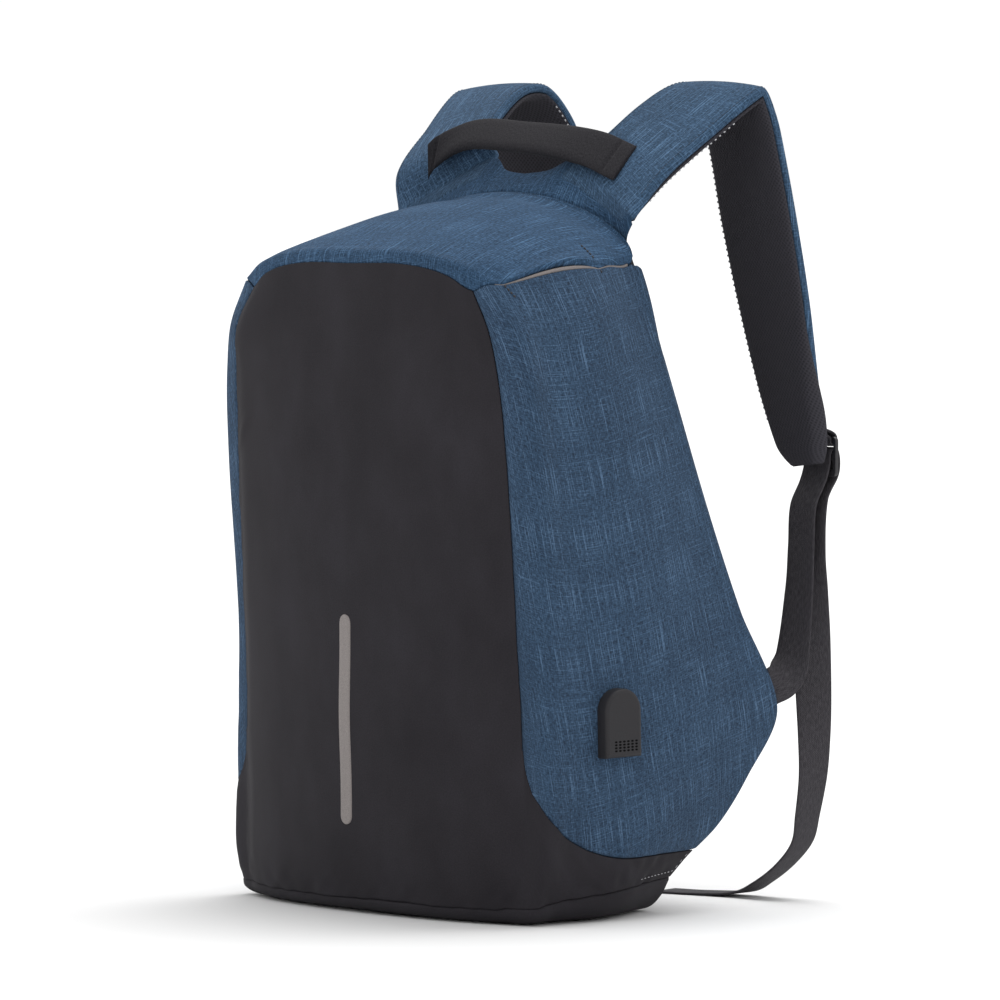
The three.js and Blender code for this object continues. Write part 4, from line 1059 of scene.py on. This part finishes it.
def strap_yoke():
    s, r = np.meshgrid(mix(-1, 1, shares(230, 2.2)), shares(30, 1.6), indexing="ij")
    grid = yoke_point(s, r)
    away = np.array([0, 0.3, -0.954])
    made = cloth("strap_yoke", grid, TOP_CLOTH_PAINTED_LIGHT, "heather_cloth", tuck=YOKE_THICKNESS, inner=away)


STRAP_PLACES = np.linspace(0.0075, 1, 230)
SHELL_PROFILE = [
    (0.03, -6.0), (0.006, -5.7), (-0.004, -5.0), (-0.006, -3.6), (-0.004, -2.2), (0.004, -1.2), (0.018, -0.5),
    (0.04, 0.0), (0.08, 0.45), (0.15, 0.95), (0.25, 1.45), (0.37, 1.85), (0.5, 2.0),
]
MESH_PROFILE = [
    (0.022, -6.3), (0.004, -6.5), (-0.004, -7.2), (0.0, -8.2), (0.02, -9.2), (0.06, -10.1), (0.12, -10.7),
    (0.22, -11.1), (0.35, -11.3), (0.5, -11.35),
]


def both_ways(profile):
    """A profile given up to its middle, and mirrored past it."""
    return profile + [(1 - share, height) for share, height in profile[-2::-1]]


ROOT_PLACES = np.linspace(0.45, 0.99, 14)  # up the yoke, from where the strap's foam starts to its edge
LEFT_ROOT_EXTRA = 7  # the left strap's root is this much wider
MESH_THIN = -3  # the mesh and its stitches thin out towards this height by the strap's root


def strap_lines(places, forward):
    """The strap's edge lines; the left one's outer edge is a little wider at its root."""
    inner, outer = strap_edge_lines(places, forward)
    if forward:
        outer[..., 0] += LEFT_ROOT_EXTRA * np.clip(1 - places / 0.16, 0, 1)
    return inner, outer


def root_rings(profile, normal, forward):
    """Rings of the strap's root, which rises out of the yoke."""
    share = np.array([w for w, _ in profile])
    height = np.array([h for _, h in profile])
    rings = []
    for r in ROOT_PLACES:
        s = mix(0.37, 1 - 0.1 * (1 - r), np.clip(share, 0, 1))
        base = yoke_point(s, np.full_like(s, r))
        if forward:
            base[..., 0] += LEFT_ROOT_EXTRA * np.clip(share, 0, 1)
        grown = ease((r - ROOT_PLACES[0]) / (1 - ROOT_PLACES[0]))
        rings.append(base + normal * (0.25 + height * grown)[:, None])
    return np.array(rings)


topstitch_rows = []  # both straps' rows, sewn at the end as one piece


def strap(side, forward, flip):
    """One strap: its cloth outside, the mesh over its foam, and the stitches along both."""
    inner, outer = strap_lines(STRAP_PLACES, forward)
    shape = both_ways(SHELL_PROFILE)

    def rounded(k):
        pull = max(1 - (1 - STRAP_PLACES[k]) * 60, 0) ** 2
        return [(mix(w, 0.5, 0.1 * pull), h * (1 - 0.3 * pull)) for w, h in shape]

    rings, normal = band_rings(inner, outer, rounded)
    rings = np.concatenate([root_rings(shape, normal[0], forward), rings[STRAP_PLACES < 0.985]])
    shell = tube("strap_shell_" + side, flip(rings), STRAP_CLOTH_PAINTED_LIGHT)
    under = both_ways(MESH_PROFILE)
    thin = 0.75 * np.clip(1 - STRAP_PLACES / 0.12, 0, 1) ** 2

    def foam(k):
        """The mesh's section: near the pad's end it wraps the outer edge, and the inner corner is round."""
        wrap = ease(np.clip((STRAP_PLACES[k] - 0.72) / 0.2, 0, 1))
        end = np.clip((STRAP_PLACES[k] - 0.965) / 0.035, 0, 1) ** 2
        made = []
        for w, h in under:
            if w > 0.5:
                w, h = w + 0.034 * wrap * (h > -9), h + 6.2 * wrap * np.clip((h + 9.6) / 3.2, 0, 1)
            w = mix(w, 0.62, 0.3 * end if w < 0.5 else 0.06 * end)
            made.append((w, mix(mix(h, -5, 0.35 * end), MESH_THIN, thin[k])))
        return made

    rings, _ = band_rings(inner, outer, foam)
    root = [(w, mix(h, MESH_THIN, thin[0])) for w, h in under]
    rings = np.concatenate([root_rings(root, normal[0], forward) - normal[0] * 1.5, rings[1:]])
    last, ahead = rings[-1].mean(axis=0), rings[-1].mean(axis=0) - rings[-2].mean(axis=0)
    tip = mix(rings[-1], last, 0.12) + unit(ahead) * 1.2
    rings = np.concatenate([rings, tip[None]])
    mesh = tube("strap_mesh_" + side, flip(rings), STRAP_MESH)
    across = unit(outer - inner)
    rows = []
    for edge, way, first, last in ((outer, 1, 0.03, 0.2), (inner, -1, 0.3, 0.93)):
        path, out = edge + normal * mix(-8.4, MESH_THIN, thin)[:, None] + across * way * 0.2, across * way
        part = (STRAP_PLACES > first) & (STRAP_PLACES < last)
        rows.append((flip(path[part]), flip(out[part]), dict(pitch=3.9, length=1.5, width=0.8, height=0.45)))
    for edge, way in ((inner, -1), (outer, 1)):
        line = edge + normal * 0.1 - across * way * 3.2
        part = (STRAP_PLACES > 0.03) & (STRAP_PLACES < 0.97)
        topstitch = dict(pitch=3.0, length=2.2, width=0.5, height=0.3)
        topstitch_rows.append((flip(line[part]), flip(normal[part]), topstitch))
    add_stitches("strap_stitches_" + side, rows, PALE_THREAD)


def carry_handle():
    place = np.linspace(0.05, 1, 150)
    upper, lower, thick = handle_edge_lines(place)
    turned = np.radians(45 * np.clip(1 - place / 0.3, 0, 1) ** 2)[:, None]
    middle, half = (upper + lower) / 2, (upper - lower) / 2
    half = half * np.cos(turned) + np.cross(half, [1.0, 0, 0]) * np.sin(turned) * [0, -1, -1]
    upper, lower = middle + half, middle - half
    ahead = unit(upper[-1] - upper[-3])
    reach = np.array([2.2, 4.4, 6.0, 6.6])[:, None]
    upper = np.concatenate([upper, upper[-1] + ahead * reach])
    lower = np.concatenate([lower, lower[-1] + ahead * reach])
    thick = np.concatenate([thick, thick[-1:].repeat(3), [0.25]])
    length = np.concatenate([[0], np.cumsum(np.linalg.norm(np.diff((upper + lower) / 2, axis=0), axis=-1))])
    folds = bump(length[-1] - length - 12, 1.3) + bump(length - 9, 1.3)
    thick = thick * (1 - 0.75 * folds)
    top = both_ways([(0, 0), (0.012, 0.4), (0.04, 0.62), (0.1, 0.86), (0.22, 0.98), (0.5, 1)])
    shape = top + [(w, -h) for w, h in top[-2:0:-1]]

    def section(k):
        half = thick[k] * HANDLE_THICKNESS / 2
        return [(w, h * half) for w, h in shape]

    rings, _ = band_rings(upper, lower, section)
    made = tube("carry_handle", rings, HANDLE_TAPE)


WEBBING_TOP = both_ways([(0, 0.2), (0.012, 0.65), (0.04, 0.95), (0.2, 1), (0.5, 1)])
WEBBING_PROFILE = WEBBING_TOP + [(share, -height) for share, height in WEBBING_TOP[::-1]]


def webbing_rings(first, second, thickness):
    return band_rings(first, second, lambda k: [(w, h * thickness / 2) for w, h in WEBBING_PROFILE])[0]


def strap_webbing(side, flip):
    parts = (0, 0.35, 90), (0.353, 0.46, 70), (0.465, 1, 160)  # closest together where it threads the lock
    first, second = webbing_edge_lines(np.concatenate([np.linspace(*part) for part in parts]))
    rings = webbing_rings(first, second, WEBBING_THICKNESS)
    tube("strap_webbing_" + side, flip(rings), WEBBING)


# Moulded parts

LOCK_HEIGHT = 26
LOCK_WIDTH = 31
LOCK_THICKNESS = 2.8
LOCK_BAR = 4.5
LOOP_THICKNESS = 1.5
LOCK_SLOT = (LOCK_HEIGHT - 3 * LOCK_BAR) / 2


def rounded_outline(width, height, radius, middle=(0, 0), steps=6):
    """A rectangle with round corners, as points."""
    points = []
    for k, (sx, sy) in enumerate(((1, 1), (-1, 1), (-1, -1), (1, -1))):
        for step in range(steps + 1):
            angle = math.pi / 2 * (k + step / steps)
            points.append((
                middle[0] + sx * (width / 2 - radius) + radius * math.cos(angle),
                middle[1] + sy * (height / 2 - radius) + radius * math.sin(angle),
            ))
    return points


def moulding(name, outlines, thickness, rounding, stand, look):
    """A flat moulding with rounded edges, put in place by stand. Outlines after the first one are holes."""
    curve = bpy.data.curves.new(name, "CURVE")
    curve.dimensions = "2D"
    curve.fill_mode = "BOTH"
    curve.extrude = (thickness / 2 - rounding) * MM
    curve.bevel_depth = rounding * MM
    curve.bevel_resolution = 3
    curve.offset = -rounding * MM
    for outline in outlines:
        spline = curve.splines.new("POLY")
        spline.points.add(len(outline) - 1)
        for point, (x, y) in zip(spline.points, outline):
            point.co = (x * MM, y * MM, 0, 1)
        spline.use_cyclic_u = True
    holder = add_object(name + "_outline", curve)
    mesh = bpy.data.meshes.new_from_object(holder.evaluated_get(bpy.context.evaluated_depsgraph_get()))
    bpy.data.objects.remove(holder)
    mesh.name = name
    mesh.transform(stand)
    mesh.materials.clear()
    put_on_bag(name, mesh, look, [name])
    mesh.set_sharp_from_angle(angle=math.radians(35))


def lock_middle():
    crossing = webbing_middle(np.array([0.4]))[0][0]
    return crossing + np.array([0, -0.6, -(LOCK_BAR + LOCK_SLOT) / 2])


def strap_adjuster(side, flip):
    middle = flip(lock_middle()) * MM
    stand = Matrix.Translation(Vector(middle)) @ Matrix.Rotation(math.pi / 2, 4, "X")
    inner = WEBBING_WIDTH + 4 * GAP
    shift = (LOCK_SLOT + LOCK_BAR) / 2
    outlines = [rounded_outline(LOCK_WIDTH, LOCK_HEIGHT, 3.2)]
    outlines += [rounded_outline(inner, LOCK_SLOT, 1, (0, y)) for y in (shift, -shift)]
    name = "strap_adjuster_" + side
    moulding(name, outlines, LOCK_THICKNESS, 0.6, stand, PLASTIC)


def adjuster_loop(side, flip):
    """The short webbing sewn to the pad, which holds the lock by its upper bar."""
    middle = lock_middle()
    top = middle[2] + LOCK_HEIGHT / 2
    pad = strap_edge_lines(np.array([0.97]), 0)[1][0][1] + 3
    bar = middle[1]
    line = table("place y z", [
        [0, pad, top + 9],
        [0.14, pad + 1.2, top + 5.5],
        [0.28, bar - 1, top + 3],
        [0.4, bar + 2.2, top + 0.6],
        [0.52, bar + 2.7, top - 3],
        [0.62, bar + 0.6, top - 5.6],
        [0.72, bar - 2.4, top - 4],
        [0.84, bar - 3, top - 0.6],
        [1, pad - 0.6, top + 2.5],
    ])
    place = np.linspace(0, 1, 60)
    y, z = read(line, "place", "y", place), read(line, "place", "z", place)
    first = xyz(middle[0] - WEBBING_WIDTH / 2, y, z)
    second = xyz(middle[0] + WEBBING_WIDTH / 2, y, z)
    tube("adjuster_loop_" + side, flip(webbing_rings(first, second, LOOP_THICKNESS)), WEBBING)


def stand_on(turn, height, lift):
    """Where a flat thing stands on the bag at a turn and height, facing out."""
    level = height / (read(RIM, "turn", "height", turn) * BAG_HEIGHT)
    point = outside(turn, level)
    ahead = unit(outside(turn + 0.05, level) - point)
    up = unit(outside(turn, level + 0.03) - point)
    out = unit(np.cross(ahead, up))
    up = np.cross(out, ahead)
    stand = Matrix.Identity(4)
    for k, axis in enumerate((ahead, up, out, (point + out * lift) * MM)):
        for row in range(3):
            stand[row][k] = axis[row]
    return stand


def port_turn():
    """The turn at which the port stands as far back as it should, found by halving."""
    low, high = 1.1, 1.95
    for _ in range(20):
        middle = (low + high) / 2
        if outside(middle, PORT_MIDDLE / BAG_HEIGHT)[1] < PORT_SETBACK - BASE_SETBACK:
            low = middle
        else:
            high = middle
    return low


def d_outline(width, height):
    """A rectangle with a half round top, as points."""
    half = width / 2
    points = [(-half, -height / 2), (half, -height / 2)]
    shoulder = height / 2 - half
    points += [(half * math.cos(a), shoulder + half * math.sin(a)) for a in np.linspace(0, math.pi, 40)]
    return points


def usb_port():
    thickness = PORT_RAISE + 4
    stand = stand_on(port_turn(), PORT_MIDDLE + 0.8, thickness / 2 - 1.5)
    stand = stand @ Matrix.Translation((0.6 * MM, 0, 0))
    outline = d_outline(PORT_WIDTH - 3, PORT_HEIGHT + 1)
    moulding("usb_port", [outline], thickness, 2.4, stand, PORT_PLASTIC)
    # The dimples: thin dark dots of painted shade on the port's face, not sunk.
    points, faces = [], []
    top = thickness / 2 + 0.02
    for column in range(6):
        for row in range(4):
            x, y = (column - 2.5) * 3.3 + 1.2, -PORT_HEIGHT / 2 + 4.0 + row * 1.9
            start = len(points)
            points.append((x, y, top + 0.1))
            for size, lift in ((0.6, 0.08), (1.0, 0.0)):
                points += [
                    (x + 1.15 * size * math.cos(a), y + 0.68 * size * math.sin(a), top + lift)
                    for a in np.arange(8) * math.pi / 4
                ]
            ring, after = start + 1, [(k + 1) % 8 for k in range(8)]
            faces += [(start, ring + k, ring + n) for k, n in enumerate(after)]
            faces += [(ring + k, ring + 8 + k, ring + 8 + n, ring + n) for k, n in enumerate(after)]
    points = np.array([(stand @ Vector((x * MM, y * MM, z * MM))) / MM for x, y, z in points])
    add_piece("port_dimple_shade", points, faces, DIMPLE_SHADE)


def zip_slider():
    right = [(2.4, -7), (3.4, -2), (4, 3.5), (3.4, 5.5), (2, 7)]
    outline = [(-2.4, -7)] + right + [(-x, y) for x, y in right[:0:-1]]
    stand = Matrix.Scale(-1, 4, (1, 0, 0)) @ stand_on((2 + ZIP_TURN) / 2, SLIDER_HEIGHT, 1.0)
    moulding("zip_slider", [outline], 3, 0.7, stand, PLASTIC)


def sewing():
    """The stitch rows that show: bar tacks at the slits, and the lines along the low back corners."""
    dark, pale = [], []
    tack = dict(pitch=2.4, length=1.9, width=1.0, height=0.8)
    for flip in (same, mirrored):
        for r, lean in ((TACKS[0], 0.012), (TACKS[1], 0.006)):
            drop = np.linspace(0.6, 9.5 if r < 0.5 else 4.5, 12)
            path, out = on_bag(1 + r + lean * drop / 4, 1 - drop / BAG_HEIGHT, 0.1)
            path[:, 2] += slit_rise(np.array(r)) * bump(drop, 14)
            dark.append((flip(path), flip(out), tack))
        s = np.linspace(0.9, 0.985, 12)
        path = dome(s, np.full_like(s, TACKS[1] - 0.02)) + [0, 0, 0.2]
        dark.append((flip(path), flip(np.broadcast_to([0.5, 0, 0.87], path.shape)), tack))
        level = np.linspace(0.093, 0.066, 10)
        corner, out1 = on_bag(np.full(10, 1.975), level, 0.15)
        turn = np.linspace(1.96, 1.72, 16)
        low, out2 = on_bag(turn, base_level(turn) + 0.011, 0.15)
        path, out = np.concatenate([corner, low]), np.concatenate([out1, out2])
        pale.append((flip(path), flip(out), dict(pitch=4.4, length=2.0, width=0.35, height=0.15)))
    add_stitches("bar_tacks", dark, DARK_THREAD)
    add_stitches("corner_stitches", pale, PALE_THREAD)
    add_stitches("strap_topstitches", topstitch_rows, BLUE_THREAD)


front_panel()
side_panels()
top_panel()
base_panel()
back_panel()
main_zip()
reflective_stripe()
slit_trims()
strap_yoke()
carry_handle()
for side, forward, flip in (("right", 0, same), ("left", LEFT_STRAP_FORWARD, mirrored)):
    strap(side, forward, flip)
    strap_webbing(side, flip)
    strap_adjuster(side, flip)
    adjuster_loop(side, flip)
usb_port()
zip_slider()
sewing()

# Floor, light and camera


def pale_floor():
    """A seamless studio floor of matt painted board: plain and nearly white."""
    made, tree = finish("matt_painted_board", Roughness=0.9, Specular_IOR_Level=0.1)
    tree.nodes["Principled BSDF"].inputs["Base Color"].default_value = linear("#e6e6e6")
    mesh = bpy.data.meshes.new("floor")
    half = 40  # metres, so that no edge shows
    corners = [(-half, -half, 0), (half, -half, 0), (half, half, 0), (-half, half, 0)]
    mesh.from_pydata(corners, [], [(0, 1, 2, 3)])
    mesh.materials.append(made)
    floor = add_object("floor", mesh)


def overhead_light():
    """One wide soft light from above and a little behind."""
    light = bpy.data.lights.new("overhead_light", "SUN")
    light.energy = 1.9
    light.angle = math.radians(38)
    made = add_object("overhead_light", light)
    made.rotation_euler = Vector((-0.1, 0.36, 1)).to_track_quat("Z", "Y").to_euler()


pale_floor()
world = bpy.context.scene.world or bpy.data.worlds.new("studio")
bpy.context.scene.world = world
world.use_nodes = True
world.node_tree.nodes["Background"].inputs["Color"].default_value = (1, 1, 1, 1)
world.node_tree.nodes["Background"].inputs["Strength"].default_value = 1.02
overhead_light()

bpy.context.scene.view_settings.view_transform = "Standard"
lens = bpy.data.cameras.new("camera")
lens.lens = 279
lens.sensor_width = 36
lens.clip_end = 100
camera = add_object("camera", lens)
# The photograph's view: from 50 degrees to the right of the front, looking 2.4 degrees down.
camera.location = (3.8496, -3.1908, 0.475)
camera.rotation_euler = (math.radians(90 - 2.435), 0, math.radians(50))
bpy.context.scene.camera = camera
